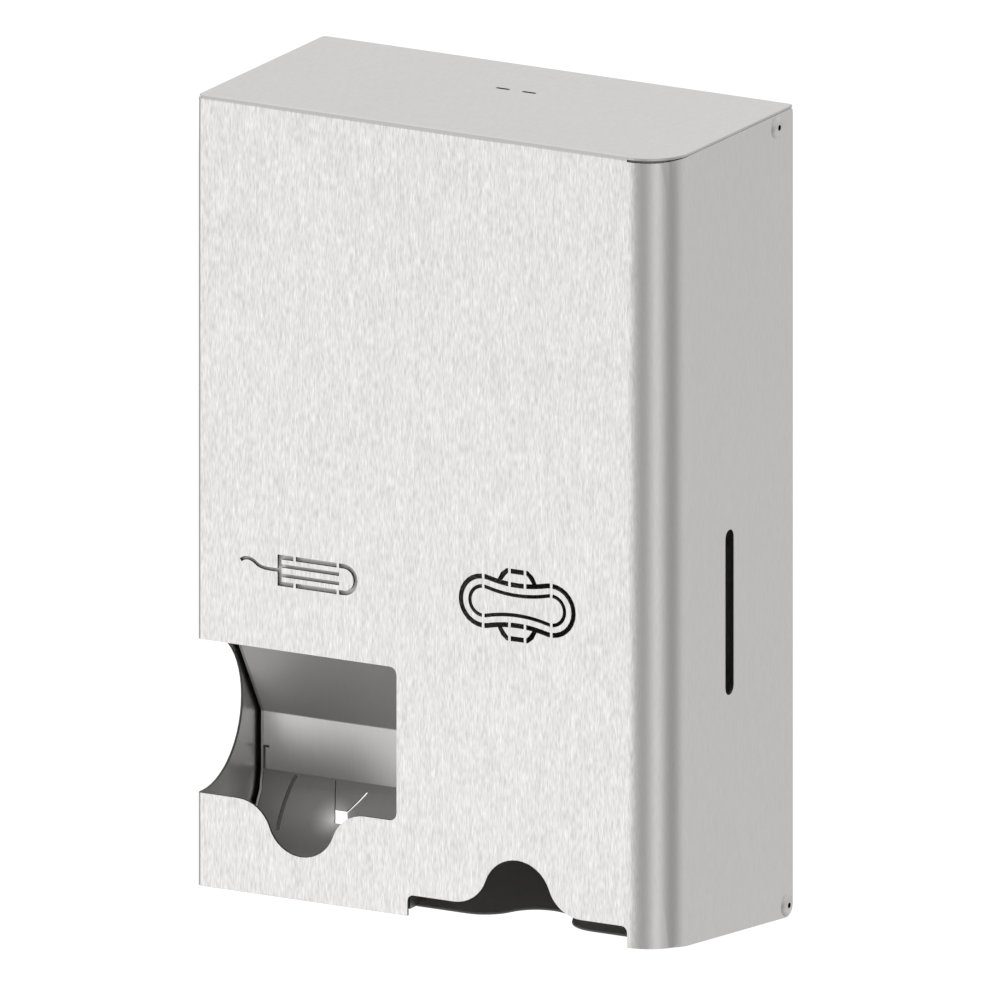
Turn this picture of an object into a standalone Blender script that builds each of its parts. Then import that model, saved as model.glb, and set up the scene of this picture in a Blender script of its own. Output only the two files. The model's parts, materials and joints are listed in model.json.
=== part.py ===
"""Wall-mounted dispenser for tampons and sanitary pads, folded from stainless sheet.

Units are metres and +Z is up. The wall is the plane y = 0 and the front looks along -Y.
Sizes in the functions below are measured from the hood: x from its left side, y from its
front face towards the wall, z up from its front bottom edge. at() turns them into the
part's own frame, whose origin lies on the rear face of the base.

Every sheet starts as a flat blank in (s, t). s runs across the folds, along the sheet's
reference face, and t runs along the folds.
"""
import math

import bmesh
import bpy
from mathutils import Vector

# Hood: the outer cover
hood_width = 0.2512
hood_depth = 0.1202
hood_height = 0.382
hood_sheet = 0.0012
hood_left_radius = 0.002
hood_right_radius = 0.0215
hood_top_radius = 0.002
hood_relief = 0.0011
hood_relief_share = 0.45
hood_seam = 0.0001
hood_top_overhang = 0.0007
hood_corner_radius = 0.002
hood_slope_start = 0.0104

# Frame and fits
wall_gap = 0.001
mount_height = 0.190
seat_gap = 0.0003

# Tampon opening, with the finger scoop in its lower edge
opening_right = 0.1065
opening_top = 0.1192
opening_height = 0.0743
opening_fillet = 0.0037
opening_wrap = 0.0047
scoop_x = 0.0555
scoop_radius = 0.018
scoop_fillet = 0.018
scoop_depth = 0.0242

# Pad outlet in the front bottom edge
outlet_divider_gap = 0.0028
outlet_height = 0.0102
outlet_fillet = 0.003
outlet_notch_offset = 0.0003

# Level slot in the right side
level_slot_y = 0.0595
level_slot_z = 0.151
level_slot_width = 0.008
level_slot_length = 0.080

# Key slots in the top
key_slot_offset = 0.0006
key_slot_rear = 0.0412
key_slot_pitch = 0.014
key_slot_length = 0.0075
key_slot_width = 0.002

# Tampon sign, cut through the front
tampon_sign_x = 0.0429
tampon_sign_z = 0.1576
tampon_sign_lift = 0.00035
tampon_body_length = 0.0428
tampon_body_height = 0.0151
tampon_body_stroke = 0.0022
tampon_line_offset = 0.00225
tampon_line_stroke = 0.0017
tampon_first_bridge = 0.0085
tampon_second_bridge = 0.0316
tampon_string_length = 0.0197
tampon_string_height = 0.0038

# Pad sign, cut through the front
pad_lobe_x = 0.0182
pad_outer_radius = 0.0119
pad_outer_waist = 0.0097
pad_outer_stroke = 0.0024
pad_inner_radius = 0.0071
pad_inner_waist = 0.0048
pad_inner_stroke = 0.0018
pad_wing_height = 0.0163
pad_wing_flat = 0.0057
pad_wing_base = 0.0092
pad_wing_bridge_x = 0.00415
sign_bridge = 0.0013

# Hinge of the hood, near the wall at the bottom
hinge_inset = 0.0059
hinge_z = -0.0035
hinge_shank = 0.004
hinge_tail = 0.0072
hinge_washer = 0.009
ear_radius = 0.0043

# Rivets
rivet_head = 0.0106
rivet_dome = 0.0011
rivet_edge = 0.0005
rivet_mandrel = 0.0026
rivet_hollow = 0.004
rivet_tail_length = 0.0015
rail_rivet_inset = 0.0152
rail_rivet_drop = 0.0075
plate_rivet_shank = 0.0032
plate_rivet_head = 0.0065
plate_rivet_dome = 0.0012
plate_rivet_inset = 0.025

# Base: back panel and side walls
base_sheet = 0.0012
base_side_gap = 0.0018
base_radius = 0.0024
base_front = 0.004
base_right_front = 0.075
base_wall_drop = 0.037
base_panel_drop = 0.008
base_wall_bottom = 0.002
base_arch_top = 0.030
screw_hole = 0.0055
screw_upper_inset = 0.045
screw_upper_drop = 0.016
screw_lower_spread = 0.030
screw_lower_z = 0.090

# Magazine plates
magazine_sheet = 0.001
magazine_radius = 0.0018
magazine_drop = 0.052
magazine_bottom = -0.002
magazine_flange = 0.012
magazine_lip = 0.0155
magazine_lip_bottom = 0.014
magazine_step = 0.004
divider_offset = 0.003
divider_margin = 0.0024
pad_plate_inset = 0.0163
level_window_margin = 0.001

# Pad floor
floor_top = 0.0027
floor_front = 0.0115
floor_notch_inset = 0.0006
floor_tab_length = 0.012
floor_tab_front = 0.030
floor_tab_inset = 0.0347

# Tampon front plate
front_plate_gap = 0.001
front_plate_rise = 0.0058
front_plate_drop = 0.030
front_plate_flange = 0.014
front_plate_rivet_y = 0.011

# Tampon chute
chute_flange_height = 0.014
chute_ramp_top = 0.236
throat_y = 0.026
throat_z = 0.1223
chute_kink_y = 0.0557
chute_kink_z = 0.0719
crease_z = 0.0439
chute_radius = 0.002
chute_tab_length = 0.012
chute_shoulder = 0.003
notch_depth = 0.0029
notch_height = 0.0011
notch_slit = 0.0009
notch_top = 0.0553

# Tampon tray
tray_radius = 0.029
tray_front = 0.0028
tray_tab_length = 0.006
tray_tab_y = 0.018
tray_hole_x = 0.0441
tray_hole_s = 0.0142
tray_hole_width = 0.0071
tray_hole_length = 0.0066
tray_hole_skew = 0.0021
tray_seam_x = 0.0426
tray_seam_s = 0.0069
tray_seam_width = 0.0005
tray_slit_width = 0.0009
tray_slit_length = 0.013
tray_slit_degrees = 49.6
tray_slot_x = 0.0513
tray_slot_s = 0.0176
tray_slot_radius = 0.034
tray_slot_width = 0.0020
tray_floor_angle = 14.0

# Catch rail of the hood
rail_sheet = 0.0012
rail_inset = 0.0082
rail_flange = 0.0145
rail_height = 0.012
rail_radius = 0.002

# Latch
latch_bracket_sheet = 0.0015
latch_bracket_width = 0.030
latch_ear_reach = 0.008
latch_ear_margin = 0.0055
latch_bracket_drop = 0.0167
latch_bracket_radius = 0.0025
latch_pin = 0.004
latch_pin_head = 0.007
latch_pin_head_length = 0.0012
latch_pin_inset = 0.0087
latch_pin_drop = 0.0038
latch_sheet = 0.0012
latch_play = 0.0006
latch_engagement = 0.0025
latch_pad_reach = 0.007
latch_pad_drop = 0.004
latch_nose_radius = 0.0018
latch_left_inset = 0.0018
latch_knuckle_width = 0.018
latch_pad_width = 0.0245
latch_curl_degrees = 240.0
latch_ramp_degrees = 40.0
latch_widening = 0.005

# Latch spring
spring_wire = 0.001
spring_turns = 4
spring_pitch = 0.0013
spring_clearance = 0.0006
spring_leg_gap = 0.0008
spring_points_per_turn = 12

# Values that follow from those above
base_left_x = hood_sheet + base_side_gap
base_right_x = hood_width - base_left_x
base_rear_y = hood_depth + wall_gap
base_inner_y = base_rear_y - base_sheet
base_wall_top = hood_height - base_wall_drop
base_panel_top = hood_height - base_panel_drop
screw_upper_z = base_panel_top - screw_upper_drop
hinge_x = hood_width / 2
hinge_y = hood_depth - hinge_inset
magazine_rear_y = base_inner_y - seat_gap
magazine_top = hood_height - magazine_drop
divider_x = opening_right + divider_offset
pad_plate_x = base_right_x - pad_plate_inset
floor_tab_rear = magazine_rear_y - floor_tab_inset
outlet_left = divider_x + outlet_divider_gap
outlet_notch_x = (divider_x + pad_plate_x) / 2 + outlet_notch_offset
front_plate_front = hood_sheet + front_plate_gap
front_plate_bottom = opening_top + front_plate_rise
front_plate_top = magazine_top - front_plate_drop
plate_rivet_low = front_plate_bottom + plate_rivet_inset
plate_rivet_high = front_plate_top - plate_rivet_inset
tampon_left_x = base_left_x + base_sheet + seat_gap
tampon_right_x = divider_x - seat_gap
rail_top = hood_height - hood_sheet - seat_gap
rail_bottom = rail_top - rail_height
rail_rear = hood_depth - rail_inset
rail_front = rail_rear - rail_flange
rail_rivet_y = hood_depth - rail_rivet_inset
rail_rivet_z = hood_height - rail_rivet_drop
key_slot_x = hood_width / 2 + key_slot_offset
key_slot_y = hood_depth - key_slot_rear
latch_pin_y = magazine_rear_y - latch_pin_inset
latch_pin_z = rail_bottom - latch_pin_drop
latch_nose_top = rail_bottom + latch_engagement
latch_pad_front = key_slot_y - latch_pad_reach
latch_pad_top = rail_bottom - latch_pad_drop
latch_bracket_front = latch_pin_y - latch_ear_reach
latch_ear_bottom = latch_pin_z - latch_ear_margin
latch_bracket_top = latch_pin_z + latch_ear_margin
latch_bracket_bottom = latch_pin_z - latch_bracket_drop


def at(x, y, z):
    """A place measured from the hood's front bottom left corner, in the part's frame."""
    return Vector((x - hood_width / 2, y - hood_depth - wall_gap, z - mount_height))


def arc(centre_u, centre_v, radius, start, end, facets):
    """Points of an arc, from start to end in degrees, both ends included."""
    points = []
    for i in range(facets + 1):
        angle = math.radians(start + (end - start) * i / facets)
        points.append((centre_u + radius * math.cos(angle), centre_v + radius * math.sin(angle)))
    return points


def circle(centre_u, centre_v, radius, facets=16):
    return arc(centre_u, centre_v, radius, 0, 360, facets)[:-1]


def rounded_slot(centre_u, centre_v, length, width, upright=False, facets=6):
    """A slot with round ends, along u, or along v when it is upright."""
    half = (length - width) / 2
    radius = width / 2
    if upright:
        top = arc(centre_u, centre_v + half, radius, 0, 180, facets)
        return top + arc(centre_u, centre_v - half, radius, 180, 360, facets)
    right = arc(centre_u + half, centre_v, radius, -90, 90, facets)
    return right + arc(centre_u - half, centre_v, radius, 90, 270, facets)


def finger_notch(centre, level, side, inset=0.0, facets=8):
    """The finger notch's edge from low u to high u; side is 1 when it rises from the level."""
    centre_drop = scoop_depth - scoop_radius
    radius = scoop_radius - inset
    reach = radius + scoop_fillet
    half_width = math.sqrt(reach ** 2 - (scoop_fillet - centre_drop) ** 2)
    meet = math.degrees(math.atan2(scoop_fillet - centre_drop, half_width))
    fillet_a = arc(-half_width, scoop_fillet, scoop_fillet, -90, -meet, facets)
    round_part = arc(0, centre_drop, radius, 180 - meet, meet, 2 * facets)[1:-1]
    fillet_b = arc(half_width, scoop_fillet, scoop_fillet, 180 + meet, 270, facets)
    return [(centre + u, level + side * v) for u, v in fillet_a + round_part + fillet_b]


def bezier(points, facets):
    """Points of a cubic curve with the given four control points."""
    curve = []
    for i in range(facets + 1):
        k = i / facets
        weights = ((1 - k) ** 3, 3 * k * (1 - k) ** 2, 3 * k ** 2 * (1 - k), k ** 3)
        curve.append(tuple(sum(w * p[axis] for w, p in zip(weights, points)) for axis in (0, 1)))
    return curve


def ribbon(points, width):
    """The outline of a stroke of even width that follows the points."""
    left, right = [], []
    for i, (u, v) in enumerate(points):
        before = points[max(i - 1, 0)]
        after = points[min(i + 1, len(points) - 1)]
        length = math.hypot(after[0] - before[0], after[1] - before[1])
        normal_u = (before[1] - after[1]) / length * width / 2
        normal_v = (after[0] - before[0]) / length * width / 2
        left.append((u + normal_u, v + normal_v))
        right.append((u - normal_u, v - normal_v))
    return left + right[::-1]


class Fold:
    """A folded section: straight runs and bends, followed along the reference face.

    corners are the section's sharp corners and radii the bend radii of the reference face
    at them. The sheet's thickness lies to the left of the way it runs.
    """

    def __init__(self, corners, radii):
        self.runs = []
        self.starts = []
        self.start = corners[0]
        first = Vector(corners[1]) - Vector(corners[0])
        self.heading = math.atan2(first.y, first.x)
        setback = 0.0
        length = 0.0
        for i in range(len(corners) - 1):
            along = Vector(corners[i + 1]) - Vector(corners[i])
            next_setback = 0.0
            turn = 0.0
            if i + 2 < len(corners):
                onward = Vector(corners[i + 2]) - Vector(corners[i + 1])
                turn = -along.angle_signed(onward)
                next_setback = radii[i] * math.tan(abs(turn) / 2)
            straight = along.length - setback - next_setback
            self.starts.append(length - setback)
            self.runs.append((straight, 0.0))
            length += straight
            if turn:
                self.runs.append((radii[i] * abs(turn), turn))
                length += radii[i] * abs(turn)
            setback = next_setback
        self.length = length

    @classmethod
    def from_runs(cls, start, heading, runs):
        """A section given by its runs: each is a length and a turn in degrees over it."""
        fold = cls.__new__(cls)
        fold.start = start
        fold.heading = math.radians(heading)
        fold.runs = [(length, math.radians(turn)) for length, turn in runs]
        fold.length = sum(length for length, turn in runs)
        return fold

    def station(self, run, distance):
        """s on a straight run, at a distance from the sharp corner where it starts."""
        return self.starts[run] + distance

    def point(self, s, depth=0.0):
        """Where the section lies at s, at a depth from the reference face."""
        u, v = self.start
        heading = self.heading
        rest = s
        for number, (length, turn) in enumerate(self.runs):
            step = rest if number == len(self.runs) - 1 else min(rest, length)
            if turn:
                radius = length / turn
                new_heading = heading + turn * step / length
                u += radius * (math.sin(new_heading) - math.sin(heading))
                v -= radius * (math.cos(new_heading) - math.cos(heading))
                heading = new_heading
            else:
                u += step * math.cos(heading)
                v += step * math.sin(heading)
            rest -= step
            if rest <= 0:
                break
        return u - depth * math.sin(heading), v + depth * math.cos(heading)

    def bend_lines(self, facet_degrees=18.0):
        """The s values at which bends are split into flat facets."""
        lines = []
        s = 0.0
        for length, turn in self.runs:
            if turn:
                facets = max(2, round(abs(math.degrees(turn)) / facet_degrees))
                lines += [s + length * i / facets for i in range(facets + 1)]
            s += length
        return lines

    def face(self, first, last):
        """Points of the reference face between two values of s, bend lines included."""
        stops = [first] + [s for s in self.bend_lines() if first < s < last] + [last]
        return [self.point(s) for s in stops]

    def slot(self, middle, length, thickness):
        """The section of a tab at s = middle, grown by the seat gap on all sides."""
        reach = length / 2 + seat_gap
        near = [self.point(middle - reach, -seat_gap), self.point(middle + reach, -seat_gap)]
        deep = thickness + seat_gap
        return near + [self.point(middle + reach, deep), self.point(middle - reach, deep)]


def blank(outline, holes, s_lines=(), t_lines=()):
    """A flat sheet with holes, split along the fold lines."""
    bm = bmesh.new()
    for loop in [outline] + list(holes):
        corners = [bm.verts.new((s, t, 0)) for s, t in loop]
        for i in range(len(corners)):
            bm.edges.new((corners[i - 1], corners[i]))
    bmesh.ops.triangle_fill(bm, edges=bm.edges[:], use_beauty=True)
    for lines, normal in ((s_lines, Vector((1, 0, 0))), (t_lines, Vector((0, 1, 0)))):
        for line in lines:
            geometry = bm.verts[:] + bm.edges[:] + bm.faces[:]
            bmesh.ops.bisect_plane(bm, geom=geometry, dist=seat_gap / 1000,
                                   plane_co=normal * line, plane_no=normal)
    bmesh.ops.triangulate(bm, faces=bm.faces[:])
    bm.verts.index_update()
    return bm


def solid_from_blank(name, bm, thickness, place, finish, carrier=None):
    """Gives the blank its thickness and its folds; place maps (s, t, depth) to the frame."""
    flat = [(v.co.x, v.co.y) for v in bm.verts]
    points = [place(s, t, 0.0) for s, t in flat] + [place(s, t, thickness) for s, t in flat]
    count = len(flat)
    faces = []
    for face in bm.faces:
        ring = [v.index for v in face.verts]
        faces.append(ring)
        faces.append([i + count for i in reversed(ring)])
        for i, corner in enumerate(ring):
            onward = ring[(i + 1) % len(ring)]
            if face.loops[i].edge.is_boundary:
                faces.append([onward, corner, corner + count, onward + count])
    bm.free()
    return add_mesh(name, points, faces, finish, carrier)


def add_mesh(name, points, faces, finish, carrier=None):
    """A mesh object under its carrier, with smooth bends and sharp edges."""
    origin = carrier.location if carrier else Vector((0, 0, 0))
    mesh = bpy.data.meshes.new(name)
    mesh.from_pydata([point - origin for point in points], [], faces)
    bm = bmesh.new()
    bm.from_mesh(mesh)
    bmesh.ops.recalc_face_normals(bm, faces=bm.faces[:])
    bm.to_mesh(mesh)
    bm.free()
    mesh.shade_smooth()
    mesh.set_sharp_from_angle(angle=math.radians(30))
    part = bpy.data.objects.new(name, mesh)
    mesh.materials.append(finish(name))
    bpy.context.scene.collection.objects.link(part)
    part.parent = carrier
    return part


def turned(name, profile, start, axis, finish, carrier=None, sides=20):
    """A turned piece: profile holds (distance along the axis, radius), closed on the axis."""
    across = Vector((0, 0, 1))
    third = axis.cross(across)
    points, rings = [], []
    for distance, radius in profile:
        centre = start + axis * distance
        if radius == 0:
            rings.append([len(points)] * sides)
            points.append(centre)
            continue
        rings.append([len(points) + i for i in range(sides)])
        for i in range(sides):
            angle = 2 * math.pi * i / sides
            points.append(centre + (across * math.cos(angle) + third * math.sin(angle)) * radius)
    faces = []
    for ring, following in zip(rings, rings[1:]):
        for i in range(sides):
            k = (i + 1) % sides
            corners = [ring[i], ring[k], following[k], following[i]]
            face = [c for n, c in enumerate(corners) if c not in corners[:n]]
            if len(face) > 2:
                faces.append(face)
    return add_mesh(name, points, faces, finish, carrier)


def finish_material(name, colour, roughness, metallic):
    material = bpy.data.materials.new(name + "_finish")
    material.use_nodes = True
    shader = material.node_tree.nodes["Principled BSDF"]
    shader.inputs["Base Color"].default_value = (*colour, 1.0)
    shader.inputs["Roughness"].default_value = roughness
    shader.inputs["Metallic"].default_value = metallic
    return material


def brushed_steel(name):
    return finish_material(name, (0.78, 0.77, 0.76), 0.36, 1.0)


def bright_steel(name):
    return finish_material(name, (0.62, 0.61, 0.59), 0.22, 1.0)


def dull_steel(name):
    return finish_material(name, (0.20, 0.195, 0.19), 0.50, 1.0)


def rivet_steel(name):
    return finish_material(name, (0.68, 0.67, 0.65), 0.30, 1.0)


def spring_steel(name):
    return finish_material(name, (0.35, 0.34, 0.33), 0.28, 1.0)


def black_nylon(name):
    return finish_material(name, (0.03, 0.03, 0.03), 0.55, 0.0)


def black_coat(name):
    return finish_material(name, (0.035, 0.034, 0.033), 0.45, 0.0)


def tampon_sign(centre_s):
    """Cut-outs of the tampon sign; centre_s is the s of the body's left end."""
    left = centre_s
    middle = tampon_sign_z + tampon_sign_lift
    top = tampon_body_height / 2
    inner = top - tampon_body_stroke
    bar = left + tampon_body_stroke
    stub = left + tampon_first_bridge
    line_end = left + tampon_second_bridge + sign_bridge
    line_high = tampon_line_offset + tampon_line_stroke / 2
    line_low = tampon_line_offset - tampon_line_stroke / 2
    half_comb = [(left, top), (stub, top), (stub, inner), (bar, inner), (bar, line_high),
                 (line_end, line_high), (line_end, line_low), (bar, line_low)]
    comb = half_comb + [(s, -t) for s, t in reversed(half_comb)]

    first_shares = ((0.0, 0.0), (0.25, 0.0), (0.46, -0.1), (0.60, 0.58))
    second_shares = ((0.60, 0.58), (0.71, 1.05), (0.86, 1.21), (1.0, 0.63))
    centre_line = []
    for shares in (first_shares, second_shares):
        controls = [(left - a * tampon_string_length, b * tampon_string_height) for a, b in shares]
        centre_line += bezier(controls, 6)[1 if centre_line else 0:]
    string = ribbon(centre_line, tampon_line_stroke)
    half = len(centre_line)
    lower, upper = string[:half], string[half:]
    comb_with_string = comb + lower + upper

    flats = []
    flat_start = stub + sign_bridge
    flat_end = left + tampon_second_bridge
    for side in (1, -1):
        flats.append([(flat_start, side * inner), (flat_end, side * inner),
                      (flat_end, side * top), (flat_start, side * top)])
    nose_s = left + tampon_body_length - top
    outer = arc(nose_s, 0, top, 90, -90, 14)
    inside = arc(nose_s, 0, inner, -90, 90, 14)
    nose = [(line_end, top)] + outer + [(line_end, -top), (line_end, -inner)] + inside
    nose.append((line_end, inner))
    return [[(s, t + middle) for s, t in loop] for loop in [comb_with_string, nose] + flats]


def pad_contour(x, radius, waist):
    """Half height of the pad's outline at x: round lobes joined by a drawn-in waist."""
    waist_radius = (pad_lobe_x ** 2 + waist ** 2 - radius ** 2) / (2 * (radius - waist))
    meet = pad_lobe_x * waist_radius / (waist_radius + radius)
    if abs(x) <= meet:
        return waist + waist_radius - math.sqrt(waist_radius ** 2 - x ** 2)
    return math.sqrt(max(radius ** 2 - (abs(x) - pad_lobe_x) ** 2, 0.0))


def pad_band(x_values, radius, waist, stroke, side):
    """A stretch of the pad's outline: its lower edge forwards, then its upper edge back."""
    edges = []
    for shift in (-stroke / 2, stroke / 2):
        edges.append([(x, side * pad_contour(x, radius + shift, waist + shift)) for x in x_values])
    return edges[0], edges[1]


def spread(start, end, steps):
    return [start + (end - start) * i / steps for i in range(steps + 1)]


def pad_sign(centre_s):
    """Cut-outs of the pad sign, bridged so that nothing falls out."""
    half_bridge = sign_bridge / 2
    loops = []
    sizes = ((pad_outer_radius, pad_outer_stroke), (pad_inner_radius, pad_inner_stroke))
    for radius, stroke in sizes:
        tilt = math.degrees(math.asin(half_bridge / radius))
        outer = arc(pad_lobe_x, 0, radius + stroke / 2, 90 - tilt, tilt - 90, 14)
        inner = arc(pad_lobe_x, 0, radius - stroke / 2, tilt - 90, 90 - tilt, 14)
        for side in (1, -1):
            loops.append([(side * s, t) for s, t in outer + inner])

    lobe_end = pad_lobe_x - half_bridge
    wing_end = pad_wing_bridge_x + half_bridge
    flat_end = pad_wing_bridge_x - half_bridge
    wing_half = pad_outer_stroke / 2
    outer_size = (pad_outer_radius, pad_outer_waist, pad_outer_stroke)
    inner_size = (pad_inner_radius, pad_inner_waist, pad_inner_stroke)
    for side in (1, -1):
        near, far = pad_band(spread(-lobe_end, lobe_end, 16), *inner_size, side)
        loops.append(near + far[::-1])
        near, far = pad_band(spread(-flat_end, flat_end, 2), *outer_size, side)
        loops.append(near + far[::-1])
        loops.append([(s, side * t) for s in (-flat_end, flat_end)
                      for t in ((pad_wing_height - wing_half, pad_wing_height + wing_half)
                                if s < 0 else
                                (pad_wing_height + wing_half, pad_wing_height - wing_half))])
        root_out = pad_wing_base + wing_half
        root_in = pad_wing_base - wing_half
        shoulder = (pad_wing_flat + pad_wing_base) / 2
        bend = pad_wing_height - wing_half
        wing = [(shoulder + wing_half, side * bend),
                (pad_wing_flat, side * (pad_wing_height + wing_half)),
                (wing_end, side * (pad_wing_height + wing_half)),
                (wing_end, side * (pad_wing_height - wing_half)),
                (pad_wing_flat - wing_half / 2, side * (pad_wing_height - wing_half)),
                (shoulder - wing_half, side * (bend - wing_half))]
        near = pad_band(spread(wing_end, lobe_end, 7), *outer_size, side)[0]
        far_out = pad_band(spread(lobe_end, root_out, 5), *outer_size, side)[1]
        far_in = pad_band(spread(root_in, wing_end, 2), *outer_size, side)[1]
        branch = near + far_out + wing + far_in
        loops.append(branch)
        loops.append([(-s, t) for s, t in branch])
    return [[(s + centre_s, t + tampon_sign_z) for s, t in loop] for loop in loops]


def make_hood(carrier):
    """The folded cover: left side, front, rounded right side, and the top bent back."""
    fold = Fold([(0, hood_depth), (0, 0), (hood_width, 0), (hood_width, hood_depth)],
                [hood_left_radius, hood_right_radius])
    front = fold.station(1, 0)
    right = fold.station(2, 0)
    front_start = fold.station(1, hood_left_radius)
    front_end = fold.station(1, hood_width - hood_right_radius)
    side_end = fold.length
    bend_start = hood_height - hood_top_radius
    top_start = bend_start + hood_top_radius * math.pi / 2
    top_edge = hood_height - hood_sheet - hood_seam
    relief_edge = hood_height - hood_sheet - hood_relief
    relief_end = front_end + hood_relief_share * (right + hood_right_radius - front_end)

    def left_s(y):
        return hood_depth - y

    def top_t(y):
        return top_start + y - hood_top_radius

    corner = hood_depth - hinge_y
    run = hinge_y - hood_slope_start
    slope = math.asin(corner / math.hypot(run, hinge_z)) + math.atan2(-hinge_z, run)
    tilt = math.degrees(slope)
    left_corner = arc(left_s(hinge_y), hinge_z, corner, 180, 270 + tilt, 6)
    right_corner = arc(right + hinge_y, hinge_z, corner, -90 - tilt, 0, 6)

    outlet_top = outlet_height
    notch = finger_notch(front + outlet_notch_x, outlet_top, 1)
    outlet_start = front + outlet_left
    outlet = [(outlet_start, 0)]
    outlet += arc(outlet_start + outlet_fillet, outlet_top - outlet_fillet, outlet_fillet, 180, 90, 4)
    outlet += notch
    outlet += arc(front_end - outlet_fillet, outlet_top - outlet_fillet, outlet_fillet, 90, 0, 4)
    outlet += [(front_end, 0)]

    top_rear = hood_depth + hood_top_overhang
    left_flap = arc(front + hood_left_radius, top_t(hood_left_radius),
                    hood_left_radius, 180, 270, 4)
    right_flap = arc(front + hood_width - hood_right_radius, top_t(hood_right_radius),
                     hood_right_radius, -90, 0, 10)
    outline = left_corner + [(left_s(hood_slope_start), 0), (front_start, 0)] + outlet
    outline += [(right + hood_slope_start, 0)] + right_corner
    outline += arc(side_end - hood_corner_radius, top_edge - hood_corner_radius,
                   hood_corner_radius, 0, 90, 3)
    outline += [(right + hood_right_radius, top_edge), (relief_end, relief_edge)]
    outline += [(front_end - hood_seam, relief_edge), (front_end - hood_seam, top_start)]
    outline += [(front_end, top_start)] + right_flap
    outline += arc(front + hood_width - hood_corner_radius, top_t(top_rear - hood_corner_radius),
                   hood_corner_radius, 0, 90, 3)
    outline += arc(front + hood_corner_radius, top_t(top_rear - hood_corner_radius),
                   hood_corner_radius, 90, 180, 3)
    outline += left_flap + [(front_start, top_start)]
    outline += [(front_start + hood_seam, top_start), (front_start + hood_seam, top_edge)]
    outline += arc(hood_corner_radius, top_edge - hood_corner_radius, hood_corner_radius, 90, 180, 3)

    radius = opening_height / 2
    low = opening_top - opening_height
    right_s = front + opening_right
    opening = arc(left_s(opening_wrap), opening_top - radius, radius, 90, 270, 26)
    opening += finger_notch(front + scoop_x, low, -1)
    opening += arc(right_s - opening_fillet, low + opening_fillet, opening_fillet, -90, 0, 4)
    opening += arc(right_s - opening_fillet, opening_top - opening_fillet, opening_fillet, 0, 90, 4)

    hole_radius = hinge_shank / 2 + seat_gap
    holes = [opening, rounded_slot(right + level_slot_y, level_slot_z, level_slot_length,
                                   level_slot_width, upright=True)]
    for side in (-1, 1):
        holes.append(rounded_slot(front + key_slot_x + side * key_slot_pitch / 2,
                                  top_t(key_slot_y), key_slot_length, key_slot_width, facets=4))
    for y, z in ((hinge_y, hinge_z), (rail_rivet_y, rail_rivet_z)):
        holes.append(circle(left_s(y), z, hole_radius))
        holes.append(circle(right + y, z, hole_radius))
    holes += tampon_sign(front + tampon_sign_x)
    holes += pad_sign(front + outlet_notch_x)

    top_fold = Fold([(0, 0), (0, hood_height), (hood_depth, hood_height)], [hood_top_radius])
    flap_edge = (top_edge + top_t(0)) / 2

    def place(s, t, depth):
        if front_start + hood_seam / 2 < s < front_end - hood_seam / 2 and t > bend_start:
            y, z = top_fold.point(t, -depth)
            return at(s - front, y, z)
        if t > flap_edge:
            return at(s - front, t - top_t(0), hood_height - depth)
        x, y = fold.point(s, depth)
        return at(x, y, t)

    bm = blank(outline, holes, fold.bend_lines(9.0), top_fold.bend_lines(22.5))
    return solid_from_blank("hood", bm, hood_sheet, place, brushed_steel, carrier)


def plan_place(fold):
    """Folds about upright lines: the section lies in plan and t is the height."""
    def place(s, t, depth):
        x, y = fold.point(s, depth)
        return at(x, y, t)
    return place


def cross_place(fold):
    """Folds about level lines: the section lies in y and z, and t is x."""
    def place(s, t, depth):
        y, z = fold.point(s, depth)
        return at(t, y, z)
    return place


def chute_fold():
    """The chute's section, from its rear flange down to the crease above the tray."""
    top = chute_ramp_top + chute_flange_height
    front_face = magazine_rear_y - magazine_sheet
    return Fold([(front_face, top), (front_face, chute_ramp_top), (throat_y, throat_z),
                 (chute_kink_y, chute_kink_z), (chute_kink_y, crease_z)],
                [chute_radius] * 3)


def tray_fold():
    """The tray's section: one large bend, then a floor that falls to the front."""
    floor_angle = math.radians(tray_floor_angle)
    top = crease_z - seat_gap
    corner_z = top - tray_radius * math.tan((math.pi / 2 - floor_angle) / 2)
    front_z = corner_z - (chute_kink_y - tray_front) * math.tan(floor_angle)
    return Fold([(chute_kink_y, top), (chute_kink_y, corner_z), (tray_front, front_z)],
                [tray_radius])


def divider_fold():
    """The divider's section: rear flange, wall and front lip."""
    front_face = magazine_rear_y - magazine_sheet
    inner_radius = magazine_radius - magazine_sheet
    return Fold([(divider_x - magazine_flange, front_face), (divider_x, front_face),
                 (divider_x, base_front), (divider_x + magazine_lip, base_front)],
                [inner_radius, magazine_radius])


def pad_plate_fold():
    """The right magazine plate's section: front lip, wall and rear flange."""
    front_face = magazine_rear_y - magazine_sheet
    return Fold([(pad_plate_x - magazine_lip, base_front), (pad_plate_x, base_front),
                 (pad_plate_x, front_face), (pad_plate_x + magazine_flange, front_face)],
                [magazine_radius, magazine_radius - magazine_sheet])


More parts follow.
